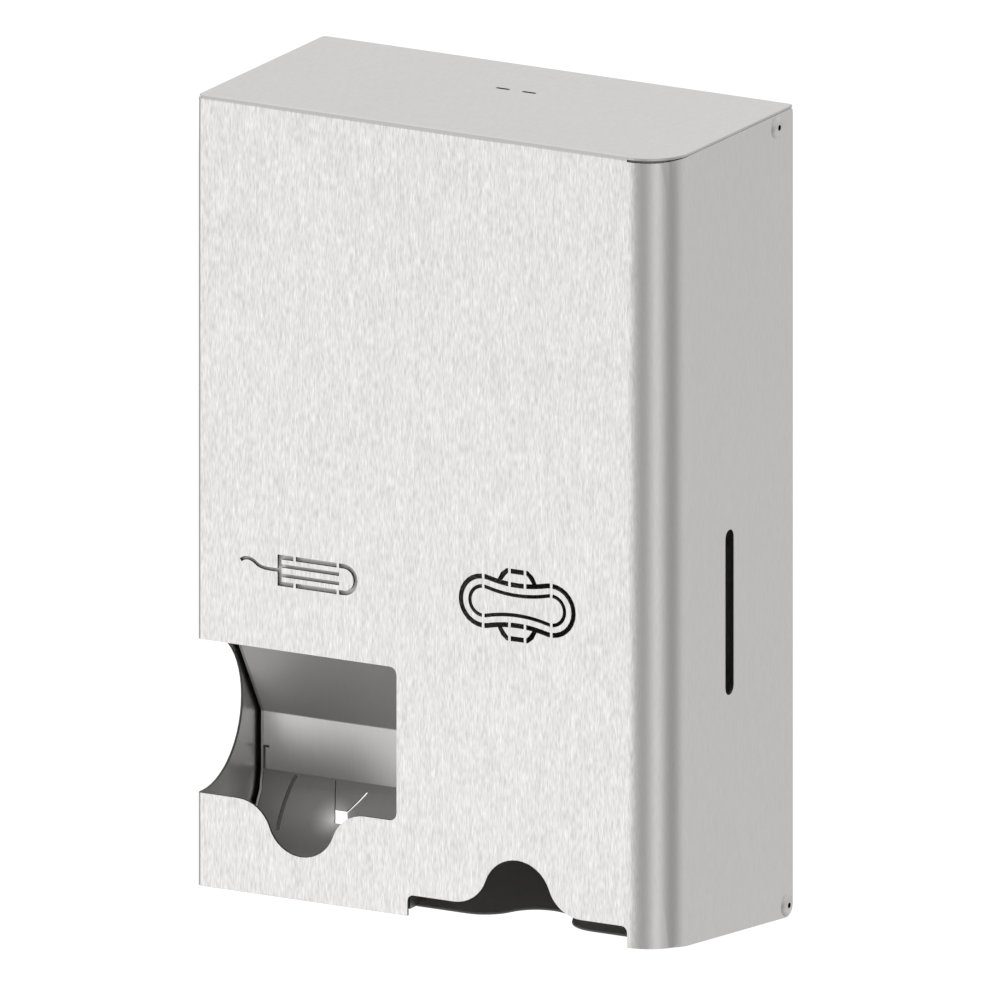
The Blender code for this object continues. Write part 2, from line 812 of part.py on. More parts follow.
def make_base():
    """The base: back panel with a wall on each side, which end in ears for the hinge."""
    fold = Fold([(base_right_x, base_right_front), (base_right_x, base_rear_y),
                 (base_left_x, base_rear_y), (base_left_x, base_front)],
                [base_radius, base_radius])

    def right_s(y):
        return fold.station(0, y - base_right_front)

    def panel_s(x):
        return fold.station(1, base_right_x - x)

    def left_s(y):
        return fold.station(2, base_rear_y - y)

    right_bend = right_s(base_rear_y - base_radius)
    left_bend = left_s(base_rear_y - base_radius)
    panel_right = panel_s(base_right_x - base_radius)
    panel_left = panel_s(base_left_x + base_radius)
    arch_s = panel_s(divider_x - divider_margin)

    chute = chute_fold()
    tray = tray_fold()
    throat_s = chute.station(1, math.hypot(magazine_rear_y - magazine_sheet - throat_y,
                                           chute_ramp_top - throat_z))
    tray_end = tray.length - (base_front - tray_front)
    edge = [(left_s(y), z) for y, z in reversed(tray.face(0, tray_end))]
    edge += [(left_s(y), z) for y, z in reversed(chute.face(throat_s, chute.length))]

    outline = [(0, base_wall_bottom), (right_s(hinge_y - ear_radius), base_wall_bottom)]
    outline += arc(right_s(hinge_y), hinge_z, ear_radius, 180, 360, 8)
    outline += [(right_bend, magazine_bottom), (panel_right, magazine_bottom)]
    outline += [(arch_s, magazine_bottom), (arch_s, base_arch_top), (panel_left, base_arch_top)]
    outline += [(left_bend, base_arch_top)]
    outline += arc(left_s(hinge_y), hinge_z, ear_radius, 180, 360, 8)
    outline += [(left_s(hinge_y - ear_radius), base_wall_bottom)]
    outline += [(left_s(base_front), base_wall_bottom)] + edge
    outline += [(left_s(base_front), edge[-1][1]), (left_s(base_front), base_wall_top)]
    outline += [(left_bend, base_wall_top), (panel_left, base_panel_top)]
    outline += [(panel_right, base_panel_top), (right_bend, base_wall_top), (0, base_wall_top)]

    pivot_hole = hinge_shank / 2 + seat_gap
    rivet_hole = plate_rivet_shank / 2 + seat_gap
    holes = [circle(right_s(hinge_y), hinge_z, pivot_hole),
             circle(left_s(hinge_y), hinge_z, pivot_hole)]
    for z in (plate_rivet_low, plate_rivet_high):
        holes.append(circle(left_s(front_plate_rivet_y), z, rivet_hole, 12))
    for side in (-1, 1):
        upper_x = hood_width / 2 + side * (hood_width / 2 - screw_upper_inset)
        lower_x = outlet_notch_x + side * screw_lower_spread
        holes.append(circle(panel_s(upper_x), screw_upper_z, screw_hole / 2))
        holes.append(circle(panel_s(lower_x), screw_lower_z, screw_hole / 2))
    ramp_slot = chute.slot(ramp_middle(chute), chute_tab_length, magazine_sheet)
    holes.append([(left_s(y), z) for y, z in ramp_slot])

    bm = blank(outline, holes, fold.bend_lines())
    return solid_from_blank("base_housing", bm, base_sheet, plan_place(fold), dull_steel)


def ramp_middle(chute):
    """s at the middle of the chute's ramp."""
    return chute.station(1, math.hypot(magazine_rear_y - throat_y, chute_ramp_top - throat_z) / 2)


def slope_middle(chute):
    """s at the middle of the chute's slope below the throat."""
    return chute.station(2, math.hypot(chute_kink_y - throat_y, chute_kink_z - throat_z) / 2)


def tray_tab_middle(tray):
    """s at the middle of the tab on the tray's floor."""
    floor_angle = math.radians(tray_floor_angle)
    return tray.station(1, (chute_kink_y - tray_tab_y) / math.cos(floor_angle))


def make_divider():
    """The wall between the tampon hopper and the pad magazine."""
    fold = divider_fold()
    front_face = magazine_rear_y - magazine_sheet

    def wall_s(y):
        return fold.station(1, front_face - y)

    lip_start = wall_s(base_front + magazine_radius)
    outline = [(0, magazine_lip_bottom), (wall_s(front_face - magazine_radius), magazine_lip_bottom)]
    outline += [(wall_s(front_face - magazine_radius), magazine_bottom)]
    step = wall_s(floor_tab_front - magazine_step)
    floor_bottom = floor_top - magazine_sheet
    outline += [(step, magazine_bottom), (step, floor_bottom), (lip_start, floor_bottom)]
    outline += [(lip_start, magazine_lip_bottom)]
    outline += [(fold.length, magazine_lip_bottom)]
    outline += [(fold.length, magazine_top), (0, magazine_top)]

    chute = chute_fold()
    tray = tray_fold()
    slots = [chute.slot(ramp_middle(chute), chute_tab_length, magazine_sheet),
             chute.slot(slope_middle(chute), chute_tab_length, magazine_sheet),
             tray.slot(tray_tab_middle(tray), tray_tab_length, magazine_sheet)]
    slots += floor_slots()
    holes = [[(wall_s(y), z) for y, z in slot] for slot in slots]
    rivet_hole = plate_rivet_shank / 2 + seat_gap
    for z in (plate_rivet_low, plate_rivet_high):
        holes.append(circle(wall_s(front_plate_rivet_y), z, rivet_hole, 12))
    bm = blank(outline, holes, fold.bend_lines())
    return solid_from_blank("magazine_divider", bm, magazine_sheet, plan_place(fold), dull_steel)


def floor_slots():
    """Slots in a magazine wall for the pad floor's tabs, in y and z."""
    low = floor_top - magazine_sheet - seat_gap
    high = floor_top + seat_gap
    slots = []
    for start in (floor_tab_front, floor_tab_rear):
        front = start - seat_gap
        rear = start + floor_tab_length + seat_gap
        slots.append([(front, low), (rear, low), (rear, high), (front, high)])
    return slots


def make_pad_side_plate():
    """The pad magazine's right wall, with a window behind the hood's level slot."""
    fold = pad_plate_fold()

    def wall_s(y):
        return fold.station(1, y - base_front)

    rear_face = magazine_rear_y - magazine_sheet
    lip_end = wall_s(base_front + magazine_radius)
    flange_start = wall_s(rear_face - magazine_radius)
    outline = [(0, magazine_lip_bottom), (lip_end, magazine_lip_bottom)]
    step = wall_s(floor_tab_front - magazine_step)
    floor_bottom = floor_top - magazine_sheet
    outline += [(lip_end, floor_bottom), (step, floor_bottom), (step, magazine_bottom)]
    outline += [(flange_start, magazine_bottom), (flange_start, magazine_lip_bottom)]
    outline += [(fold.length, magazine_lip_bottom), (fold.length, magazine_top), (0, magazine_top)]
    holes = [[(wall_s(y), z) for y, z in slot] for slot in floor_slots()]
    holes.append(rounded_slot(wall_s(level_slot_y), level_slot_z,
                              level_slot_length + 2 * level_window_margin,
                              level_slot_width + 2 * level_window_margin, upright=True))
    bm = blank(outline, holes, fold.bend_lines())
    return solid_from_blank("pad_side_plate", bm, magazine_sheet, plan_place(fold), bright_steel)


def make_pad_floor():
    """The floor under the stack of pads, with a finger notch and tabs in both walls."""
    left = divider_x + magazine_sheet + seat_gap
    right = pad_plate_x - magazine_sheet - seat_gap
    tab = magazine_sheet + seat_gap
    rear = magazine_rear_y - seat_gap
    notch = finger_notch(outlet_notch_x, floor_front, 1, floor_notch_inset)
    outline = [(left, floor_front)] + notch + [(right, floor_front)]
    for start in (floor_tab_front, floor_tab_rear):
        end = start + floor_tab_length
        outline += [(right, start), (right + tab, start), (right + tab, end), (right, end)]
    outline += [(right, rear), (left, rear)]
    for start in (floor_tab_rear, floor_tab_front):
        end = start + floor_tab_length
        outline += [(left, end), (left - tab, end), (left - tab, start), (left, start)]

    def place(s, t, depth):
        return at(s, t, floor_top - depth)

    return solid_from_blank("pad_floor", blank(outline, []), magazine_sheet, place, black_coat)


def make_front_plate():
    """The plate that keeps the tampons in when the hood is open."""
    rear = base_front + front_plate_flange
    fold = Fold([(tampon_left_x, rear), (tampon_left_x, front_plate_front),
                 (tampon_right_x, front_plate_front), (tampon_right_x, rear)],
                [magazine_radius, magazine_radius])
    outline = [(0, front_plate_bottom), (fold.length, front_plate_bottom),
               (fold.length, front_plate_top), (0, front_plate_top)]
    rivet_hole = plate_rivet_shank / 2 + seat_gap
    holes = []
    for z in (plate_rivet_low, plate_rivet_high):
        holes.append(circle(fold.station(0, rear - front_plate_rivet_y), z, rivet_hole, 12))
        holes.append(circle(fold.station(2, front_plate_rivet_y - front_plate_front), z, rivet_hole, 12))
    bm = blank(outline, holes, fold.bend_lines())
    return solid_from_blank("tampon_front_plate", bm, magazine_sheet, plan_place(fold),
                            bright_steel)


def make_chute():
    """The ramp, throat and back of the tampon opening, bent from one sheet."""
    fold = chute_fold()
    left_tab = tampon_left_x - base_left_x
    right_tab = magazine_sheet + seat_gap
    half = chute_tab_length / 2
    ramp = ramp_middle(fold)
    slope = slope_middle(fold)
    notch_s = fold.length - (notch_top - crease_z)
    slit = tampon_left_x + notch_slit
    flange_left = tampon_left_x + base_radius
    flange_right = divider_x - magazine_flange - seat_gap
    shoulder = fold.station(1, chute_shoulder)
    outline = [(0, flange_left), (shoulder, flange_left), (shoulder, tampon_left_x)]
    outline += [(ramp - half, tampon_left_x)]
    outline += [(ramp - half, tampon_left_x - left_tab), (ramp + half, tampon_left_x - left_tab)]
    outline += [(ramp + half, tampon_left_x), (notch_s, tampon_left_x)]
    outline += [(notch_s, tampon_left_x + notch_depth)]
    outline += [(notch_s + notch_height, tampon_left_x + notch_depth)]
    outline += [(notch_s + notch_height, slit), (fold.length, slit)]
    outline += [(fold.length, tampon_right_x), (slope + half, tampon_right_x)]
    for middle in (slope, ramp):
        outline += [(middle + half, tampon_right_x), (middle + half, tampon_right_x + right_tab),
                    (middle - half, tampon_right_x + right_tab), (middle - half, tampon_right_x)]
    outline += [(shoulder, tampon_right_x), (shoulder, flange_right), (0, flange_right)]
    bm = blank(outline, [], fold.bend_lines(15.0))
    return solid_from_blank("tampon_chute", bm, magazine_sheet, cross_place(fold), bright_steel)


def make_tray():
    """The curved tray that the tampons fall into, with its arc slot, square hole and slit."""
    fold = tray_fold()
    right_tab = magazine_sheet + seat_gap
    middle = tray_tab_middle(fold)
    half = tray_tab_length / 2
    outline = [(0, tampon_left_x), (fold.length, tampon_left_x), (fold.length, tampon_right_x)]
    outline += [(middle + half, tampon_right_x), (middle + half, tampon_right_x + right_tab)]
    outline += [(middle - half, tampon_right_x + right_tab), (middle - half, tampon_right_x)]
    outline += [(0, tampon_right_x)]

    seam_top = seat_gap * 2
    low_s = tray_hole_s + tray_hole_length
    right_x = tray_hole_x + tray_hole_width
    slit_x = math.cos(math.radians(tray_slit_degrees))
    slit_s = math.sin(math.radians(tray_slit_degrees))
    half_slit = tray_slit_width / 2
    end_s = tray_hole_s - tray_slit_length * slit_s
    end_x = right_x + tray_slit_length * slit_x
    hole = [(seam_top, tray_seam_x), (seam_top, tray_seam_x + tray_seam_width)]
    hole += [(tray_seam_s, tray_seam_x + 1.4 * tray_seam_width)]
    hole += [(tray_hole_s, tray_hole_x + tray_seam_width)]
    hole += [(tray_hole_s, right_x - half_slit / slit_s)]
    hole += [(end_s - half_slit * slit_x, end_x - half_slit * slit_s)]
    hole += [(end_s - half_slit * slit_s, end_x + half_slit * slit_x)]
    hole += [(end_s + half_slit * slit_x, end_x + half_slit * slit_s)]
    hole += [(tray_hole_s + half_slit / slit_x, right_x)]
    hole += [(low_s, right_x + tray_hole_skew), (low_s, tray_hole_x + tray_hole_skew)]
    hole += [(tray_hole_s, tray_hole_x), (tray_seam_s, tray_seam_x + 0.4 * tray_seam_width)]

    span = math.degrees(math.asin((tray_slot_s - seam_top) / tray_slot_radius))
    slot_half = tray_slot_width / 2
    inner = arc(tray_slot_s, tray_slot_x, tray_slot_radius - slot_half, 270 - span, 290, 12)
    outer = arc(tray_slot_s, tray_slot_x, tray_slot_radius + slot_half, 290, 270 - span, 12)
    slot = [(max(s, seam_top), x) for s, x in inner + outer]
    bm = blank(outline, [hole, slot], fold.bend_lines(6.0))
    return solid_from_blank("tampon_tray", bm, magazine_sheet, cross_place(fold), bright_steel)


def blind_rivet(name, start, axis, grip, shank, tail, finish, carrier=None, sides=24):
    """A blind rivet with a large domed head; start lies under the head, on its axis."""
    head = rivet_head / 2
    mandrel = rivet_mandrel / 2
    profile = [(rivet_hollow, 0), (rivet_hollow, mandrel), (-rivet_dome, mandrel),
               (-rivet_dome, mandrel * 1.25), (-(rivet_dome + rivet_edge) / 2, head * 0.72),
               (-rivet_edge, head * 0.94), (-rivet_edge / 2, head), (0, head), (0, shank / 2),
               (grip, shank / 2), (grip, tail / 2), (grip + rivet_tail_length, tail * 0.4),
               (grip + rivet_tail_length, 0)]
    return turned(name, profile, start, axis, finish, carrier, sides)


def plate_rivet(name, start, axis, grip):
    """A small rivet between two plates; start lies under its head, on its axis."""
    head = plate_rivet_head / 2
    shank = plate_rivet_shank / 2
    tail = plate_rivet_head * 0.4
    profile = [(-plate_rivet_dome, 0), (-plate_rivet_dome * 0.8, head * 0.6), (0, head),
               (0, shank), (grip, shank), (grip, tail), (grip + plate_rivet_dome, tail * 0.7),
               (grip + plate_rivet_dome, 0)]
    return turned(name, profile, start, axis, rivet_steel, sides=12)


def make_hinges():
    """A shouldered rivet and a nylon washer on each side carry the hood."""
    grip = 2 * seat_gap + base_left_x + base_sheet
    inner = hinge_shank / 2 + seat_gap
    outer = hinge_washer / 2
    near = hood_sheet + seat_gap
    far = base_left_x - seat_gap
    for side, x, direction in (("left", 0.0, 1), ("right", hood_width, -1)):
        axis = Vector((direction, 0, 0))
        head = at(x - direction * seat_gap, hinge_y, hinge_z)
        blind_rivet("hinge_rivet_" + side, head, axis, grip, hinge_shank, hinge_tail, rivet_steel)
        ring = [(near, inner), (far, inner), (far, outer), (near, outer), (near, inner)]
        washer(("hinge_washer_" + side), ring, at(x, hinge_y, hinge_z), axis)


def washer(name, ring, start, axis, sides=20):
    """A flat ring: its section is given as (distance along the axis, radius)."""
    across = Vector((0, 0, 1))
    third = axis.cross(across)
    section = ring[:-1]
    points = []
    for i in range(sides):
        angle = 2 * math.pi * i / sides
        out = across * math.cos(angle) + third * math.sin(angle)
        points += [start + axis * distance + out * radius for distance, radius in section]
    count = len(section)
    faces = []
    for i in range(sides):
        for k in range(count):
            a, b = i * count, (i + 1) % sides * count
            faces.append([a + k, a + (k + 1) % count, b + (k + 1) % count, b + k])
    return add_mesh(name, points, faces, black_nylon)


def make_rail(carrier):
    """The catch rail across the top of the hood, riveted to its sides."""
    left = hood_sheet + seat_gap
    right = hood_width - left
    fold = Fold([(left, rail_rear), (left, rail_front), (right, rail_front), (right, rail_rear)],
                [rail_radius, rail_radius])
    outline = [(0, rail_bottom), (fold.length, rail_bottom), (fold.length, rail_top), (0, rail_top)]
    hole_radius = hinge_shank / 2 + seat_gap
    holes = [circle(fold.station(0, rail_rear - rail_rivet_y), rail_rivet_z, hole_radius),
             circle(fold.station(2, rail_rivet_y - rail_front), rail_rivet_z, hole_radius)]
    bm = blank(outline, holes, fold.bend_lines())
    solid_from_blank("catch_rail", bm, rail_sheet, plan_place(fold), bright_steel, carrier)
    grip = 3 * seat_gap + hood_sheet + rail_sheet
    for side, x, direction in (("left", 0.0, 1), ("right", hood_width, -1)):
        head = at(x - direction * seat_gap, rail_rivet_y, rail_rivet_z)
        blind_rivet("rail_rivet_" + side, head, Vector((direction, 0, 0)), grip, hinge_shank,
                    hinge_tail, rivet_steel, carrier)


def make_plate_rivets():
    """Four rivets hold the tampon front plate, two through each of its flanges."""
    for level, z in (("low", plate_rivet_low), ("high", plate_rivet_high)):
        left = at(base_left_x - seat_gap, front_plate_rivet_y, z)
        left_grip = 3 * seat_gap + base_sheet + magazine_sheet
        plate_rivet("plate_rivet_left_" + level, left, Vector((1, 0, 0)), left_grip)
        right = at(divider_x + magazine_sheet + seat_gap, front_plate_rivet_y, z)
        right_grip = 3 * seat_gap + 2 * magazine_sheet
        plate_rivet("plate_rivet_right_" + level, right, Vector((-1, 0, 0)), right_grip)


def latch_span():
    """x of the bracket's two outer faces."""
    return key_slot_x - latch_bracket_width / 2, key_slot_x + latch_bracket_width / 2


def make_latch_bracket():
    """The bracket on the back panel whose two ears carry the latch pin."""
    left, right = latch_span()
    fold = Fold([(right, latch_bracket_front), (right, magazine_rear_y),
                 (left, magazine_rear_y), (left, latch_bracket_front)],
                [latch_bracket_radius, latch_bracket_radius])
    reach = magazine_rear_y - latch_bracket_front
    bend = reach - latch_bracket_radius
    end = fold.length
    outline = [(0, latch_ear_bottom), (bend, latch_ear_bottom), (bend, latch_bracket_bottom)]
    outline += [(end - bend, latch_bracket_bottom), (end - bend, latch_ear_bottom)]
    outline += [(end, latch_ear_bottom), (end, latch_bracket_top), (0, latch_bracket_top)]
    hole_radius = latch_pin / 2 + seat_gap
    holes = [circle(fold.station(0, latch_pin_y - latch_bracket_front), latch_pin_z, hole_radius),
             circle(fold.station(2, magazine_rear_y - latch_pin_y), latch_pin_z, hole_radius)]
    bm = blank(outline, holes, fold.bend_lines())
    return solid_from_blank("latch_bracket", bm, latch_bracket_sheet, plan_place(fold),
                            bright_steel)


def make_latch_pin():
    """The pin through the bracket's ears, with a head at each end."""
    left, right = latch_span()
    length = right - left + 2 * seat_gap
    shank = latch_pin / 2
    head = latch_pin_head / 2
    profile = [(-latch_pin_head_length, 0), (-latch_pin_head_length, head * 0.8),
               (-latch_pin_head_length / 2, head), (0, head), (0, shank), (length, shank),
               (length, head * 0.8), (length + latch_pin_head_length, head * 0.6),
               (length + latch_pin_head_length, 0)]
    start = at(left - seat_gap, latch_pin_y, latch_pin_z)
    return turned("latch_pin", profile, start, Vector((1, 0, 0)), rivet_steel, sides=16)


def make_latch_lever(carrier):
    """The lever the key presses down: a curl on the pin, an arm, a nose and a press pad."""
    left = latch_span()[0]
    curl_radius = latch_pin / 2 + seat_gap + latch_sheet
    arm_top = latch_pin_z + curl_radius
    nose_rear = rail_front - latch_play
    inner_radius = latch_nose_radius - latch_sheet
    curl = math.radians(latch_curl_degrees)
    ramp = math.radians(latch_ramp_degrees)
    arm_length = latch_pin_y - nose_rear - inner_radius
    rise_length = latch_nose_top - arm_top - inner_radius - latch_nose_radius
    bend_drop = (latch_nose_radius + inner_radius) * (1 - math.cos(ramp))
    ramp_length = (latch_nose_top - latch_pad_top - bend_drop) / math.sin(ramp)
    quarter = math.pi / 2
    runs = [(curl_radius * curl, latch_curl_degrees), (arm_length, 0),
            (inner_radius * quarter, -90), (rise_length, 0),
            (latch_nose_radius * (quarter + ramp), 90 + latch_ramp_degrees), (ramp_length, 0),
            (inner_radius * ramp, -latch_ramp_degrees)]
    start_angle = quarter - curl
    start = (latch_pin_y + curl_radius * math.cos(start_angle),
             latch_pin_z + curl_radius * math.sin(start_angle))
    heading = math.degrees(start_angle) + 90
    ramp_end = Fold.from_runs(start, heading, runs)
    pad_length = ramp_end.point(ramp_end.length)[0] - latch_pad_front
    fold = Fold.from_runs(start, heading, runs + [(pad_length, 0)])
    narrow_left = left + latch_bracket_sheet + latch_left_inset
    narrow_right = narrow_left + latch_knuckle_width
    wide_right = narrow_left + latch_pad_width
    widening = curl_radius * curl + latch_widening
    outline = [(0, narrow_left), (fold.length, narrow_left), (fold.length, wide_right),
               (widening, wide_right), (widening, narrow_right), (0, narrow_right)]
    bm = blank(outline, [], fold.bend_lines(24.0))
    return solid_from_blank("latch_lever", bm, latch_sheet, cross_place(fold), bright_steel,
                            carrier)


def make_latch_spring(carrier):
    """The torsion spring on the pin: it lifts the lever and bears on the bracket's back."""
    left = latch_span()[0]
    narrow_right = left + latch_bracket_sheet + latch_left_inset + latch_knuckle_width
    start_x = narrow_right + spring_wire / 2 + spring_clearance
    radius = latch_pin / 2 + spring_clearance + spring_wire / 2
    arm_underside = latch_pin_z + latch_pin / 2 + seat_gap
    tip_y = rail_front
    tip_z = arm_underside - seat_gap - spring_wire / 2
    reach = math.hypot(tip_y - latch_pin_y, tip_z - latch_pin_z)
    tip_angle = math.atan2(tip_z - latch_pin_z, tip_y - latch_pin_y)
    first = tip_angle + math.acos(radius / reach)
    last = 2 * math.pi * (spring_turns + 1) - math.pi / 2
    steps = spring_turns * spring_points_per_turn
    path = [at(start_x, tip_y, tip_z)]
    for i in range(steps + 1):
        angle = first + (last - first) * i / steps
        x = start_x + spring_turns * spring_pitch * i / steps
        path.append(at(x, latch_pin_y + radius * math.cos(angle),
                       latch_pin_z + radius * math.sin(angle)))
    bracket_face = magazine_rear_y - latch_bracket_sheet
    path.append(path[-1] + Vector((0, bracket_face - spring_leg_gap - latch_pin_y, 0)))
    return wire("latch_spring", path, spring_wire / 2, spring_steel, carrier)


def wire(name, path, radius, finish, carrier=None, sides=6):
    """A round wire along a path."""
    points = []
    out = Vector((1, 0, 0))
    for i, place in enumerate(path):
        along = (path[min(i + 1, len(path) - 1)] - path[max(i - 1, 0)]).normalized()
        out = (out - along * out.dot(along)).normalized()
        third = along.cross(out)
        for k in range(sides):
            angle = 2 * math.pi * k / sides
            points.append(place + (out * math.cos(angle) + third * math.sin(angle)) * radius)
    faces = [list(range(sides)), list(range(len(points) - sides, len(points)))]
    for i in range(len(path) - 1):
        for k in range(sides):
            low, onward = i * sides + k, i * sides + (k + 1) % sides
            faces.append([low, onward, onward + sides, low + sides])
    return add_mesh(name, points, faces, finish, carrier)


def add_pivot(name, place):
    """An empty on a joint's axis, which carries the pieces that turn about it."""
    pivot = bpy.data.objects.new(name, None)
    pivot.location = place
    bpy.context.scene.collection.objects.link(pivot)
    return pivot


def main():
    for leftover in list(bpy.data.objects):
        bpy.data.objects.remove(leftover)
    hood_pivot = add_pivot("hood_pivot", at(hinge_x, hinge_y, hinge_z))
    latch_pivot = add_pivot("latch_pivot", at(key_slot_x, latch_pin_y, latch_pin_z))
    make_hood(hood_pivot)
    make_rail(hood_pivot)
    make_base()
    make_hinges()
    make_divider()
    make_pad_side_plate()
    make_pad_floor()
    make_front_plate()
    make_plate_rivets()
    make_chute()
    make_tray()
    make_latch_bracket()
    make_latch_pin()
    make_latch_lever(latch_pivot)
    make_latch_spring(latch_pivot)


main()
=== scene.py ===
"""Looks of the wall-mounted dispenser for tampons and pads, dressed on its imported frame.

Lengths are in metres, and levels are parts of full white. The front faces -y, the wall +y.
"""
import json
import math

import bmesh
import bpy
from mathutils import Matrix, Vector

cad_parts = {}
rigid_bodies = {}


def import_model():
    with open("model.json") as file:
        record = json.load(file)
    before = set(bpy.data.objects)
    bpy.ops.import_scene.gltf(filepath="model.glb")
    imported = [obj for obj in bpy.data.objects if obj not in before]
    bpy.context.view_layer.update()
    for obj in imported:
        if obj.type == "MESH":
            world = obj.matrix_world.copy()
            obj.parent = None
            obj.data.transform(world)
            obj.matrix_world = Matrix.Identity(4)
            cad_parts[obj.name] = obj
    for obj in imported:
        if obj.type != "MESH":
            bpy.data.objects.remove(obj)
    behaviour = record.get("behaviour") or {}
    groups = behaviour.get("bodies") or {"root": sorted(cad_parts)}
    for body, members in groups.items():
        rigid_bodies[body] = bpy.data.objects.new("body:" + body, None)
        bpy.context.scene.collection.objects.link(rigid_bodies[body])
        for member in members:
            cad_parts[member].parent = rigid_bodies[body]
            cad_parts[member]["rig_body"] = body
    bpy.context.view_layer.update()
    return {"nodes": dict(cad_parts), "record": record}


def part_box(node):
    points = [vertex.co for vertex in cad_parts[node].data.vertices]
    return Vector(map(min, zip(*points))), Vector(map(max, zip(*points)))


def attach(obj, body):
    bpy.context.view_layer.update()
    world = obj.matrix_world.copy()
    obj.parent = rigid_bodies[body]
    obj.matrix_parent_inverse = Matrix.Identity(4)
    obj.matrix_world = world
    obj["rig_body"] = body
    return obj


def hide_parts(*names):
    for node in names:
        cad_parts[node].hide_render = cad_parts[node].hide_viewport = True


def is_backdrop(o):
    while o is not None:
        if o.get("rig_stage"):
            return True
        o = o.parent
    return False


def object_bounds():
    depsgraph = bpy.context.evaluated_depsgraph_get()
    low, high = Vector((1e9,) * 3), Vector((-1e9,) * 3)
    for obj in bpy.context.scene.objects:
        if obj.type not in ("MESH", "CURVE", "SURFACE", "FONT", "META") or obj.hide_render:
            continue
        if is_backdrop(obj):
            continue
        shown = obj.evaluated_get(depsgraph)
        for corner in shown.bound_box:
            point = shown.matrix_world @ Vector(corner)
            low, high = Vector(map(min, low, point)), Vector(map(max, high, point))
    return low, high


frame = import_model()

# The photograph's view: a parallel projection. Its aim is found from a point a little to the right
# of the hood's front left top corner, by one step right and one down in the picture
VIEW_AZIMUTH = math.radians(29.2)
VIEW_ELEVATION = math.radians(15.15)
VIEW_SCALE = 0.4665
VIEW_INSET = 0.0012
VIEW_RIGHT = 0.14019
VIEW_DOWN = 0.18894
VIEW_DISTANCE = 2.0
VIEW_REACH = 20.0

# Meshes: how near two points are one, how flat a joint is no edge, and how flat one is smooth
TOUCH = 0.000001
FLAT = math.radians(0.4)
SMOOTH = math.radians(30)

# Broken edges: their width outside and inside, their steps, and the weight of broad faces beside
BEVEL = 0.00012
INNER_BEVEL = 0.00006
BEVEL_STEPS = 2
BROAD_WEIGHT = 90

# The strips of the bends: they run along an axis and face none. They are cut near their ends and
# at even steps between
ALONG_AXIS = 0.01
FACES_AXIS = 0.9995
STRIP_END = 0.0015
STRIP_STEP = 0.030

# Cut edges no longer than this count as small, outside and inside; small ones are darkened as
# painted shade
HOOD_SMALL_CUT = 0.1195
INNER_SMALL_CUT = 0.030

# How much closer the chute and the tray come to what is beside them
FIT = 0.00028

# The hood's front left top corner, which is ground to a ball: how deep it is lowered under its
# weld, where it is cut for that, which faces there face up, and the weld's inner radius, laps and
# steps
CORNER_RADIUS = 0.002
CORNER_SINK = 0.00012
CORNER_CUTS = (0.25, 0.5, 0.75, 1.0, 1.3)
FACES_UP = 0.99
WELD_INSIDE = 0.85
WELD_LAP = 0.00025
WELD_STEPS = 12

# Blind rivets: the small hole in the crown, with the place and height of its rim
RIVET_HOLE = 0.00135
RIVET_HOLE_DEPTH = 0.003
RIVET_RIM = 0.25
RIVET_RIM_HEIGHT = 0.97

# The crown: how steep it is at its edge, how late it falls, where its rings start, and their number
RIVET_SLOPE = 0.6
RIVET_POWER = 2.5
RIVET_CROWN_START = 1.1
RIVET_STEPS = 16
RIVET_SIDES = 64

# The underside of the head, sunk a little into the sheet, as shares of the head's radius, and the
# tail behind it, as shares of the tail's length and of the head's radius
RIVET_SINK = 0.00002
RIVET_UNDERSIDE = (0.995, 0.4)
RIVET_TAIL = ((0.62, 0.4), (0.62, 0.62), (0.6944, 0.68), (0.806, 0.66), (0.97, 0.5), (1.0, 0.42))

# Noises, as scale, detail and roughness. The streaks' place is scaled before, and the longer
# streaks' once more
STREAKS = (1.0, 1.0, 0.4)
LONG_STREAKS = (1.0, 2.0, 0.55)
LONG_STRETCH = (0.45, 0.45, 0.35)
STEEL_HAZE = (18.0, 3.0, 0.55)
COAT_HAZE = (40.0, 3.0, 0.5)
PEEL = (1400.0, 2.0, 0.6)

# Steel: how upright a normal is that makes a face lie level, and how square to the front or rear
# one is that makes it begin to count as that face, and count in full
LYING = 0.75
ASLANT = 0.94
SQUARE = 0.999

# Steel: the longer streaks' share, the haze's strength, the streaks' effect on the roughness and
# their relief, and how fast the painted highlight fades
LONG_SHARE = 0.35
HAZE_STRENGTH = 0.03
STREAK_ROUGHNESS = -0.25
STREAK_RELIEF = 0.02
STREAK_DEPTH = 0.00008
PAINTED_HIGHLIGHT_POWER = 1.6

# Coats: how much the roughness varies, between which heights of the peel, and the peel's relief
COAT_VARIES = 0.06
COAT_PEEL = (0.3, 0.7)
COAT_RELIEF = 0.15
COAT_DEPTH = 0.00005

# Tints
WARM = (1.0, 0.99, 0.97)
SATIN = (1.0, 0.985, 0.965)
RIVET_TINT = (1.0, 0.99, 0.975)
SPRING_TINT = (1.0, 0.98, 0.95)
COAT_TINT = (1.0, 0.98, 0.96)

# How fine the streaks are across and along
HOOD_GRAIN = (1550.0, 240.0)
SHEET_GRAIN = (900.0, 90.0)
MILL_GRAIN = (1100.0, 120.0)
CUT_GRAIN = (1600.0, 500.0)
SLOT_GRAIN = (1600.0, 700.0)
BROKEN_GRAIN = (1600.0, 300.0)
RIVET_GRAIN = (900.0, 300.0)
SPRING_GRAIN = (1500.0, 500.0)

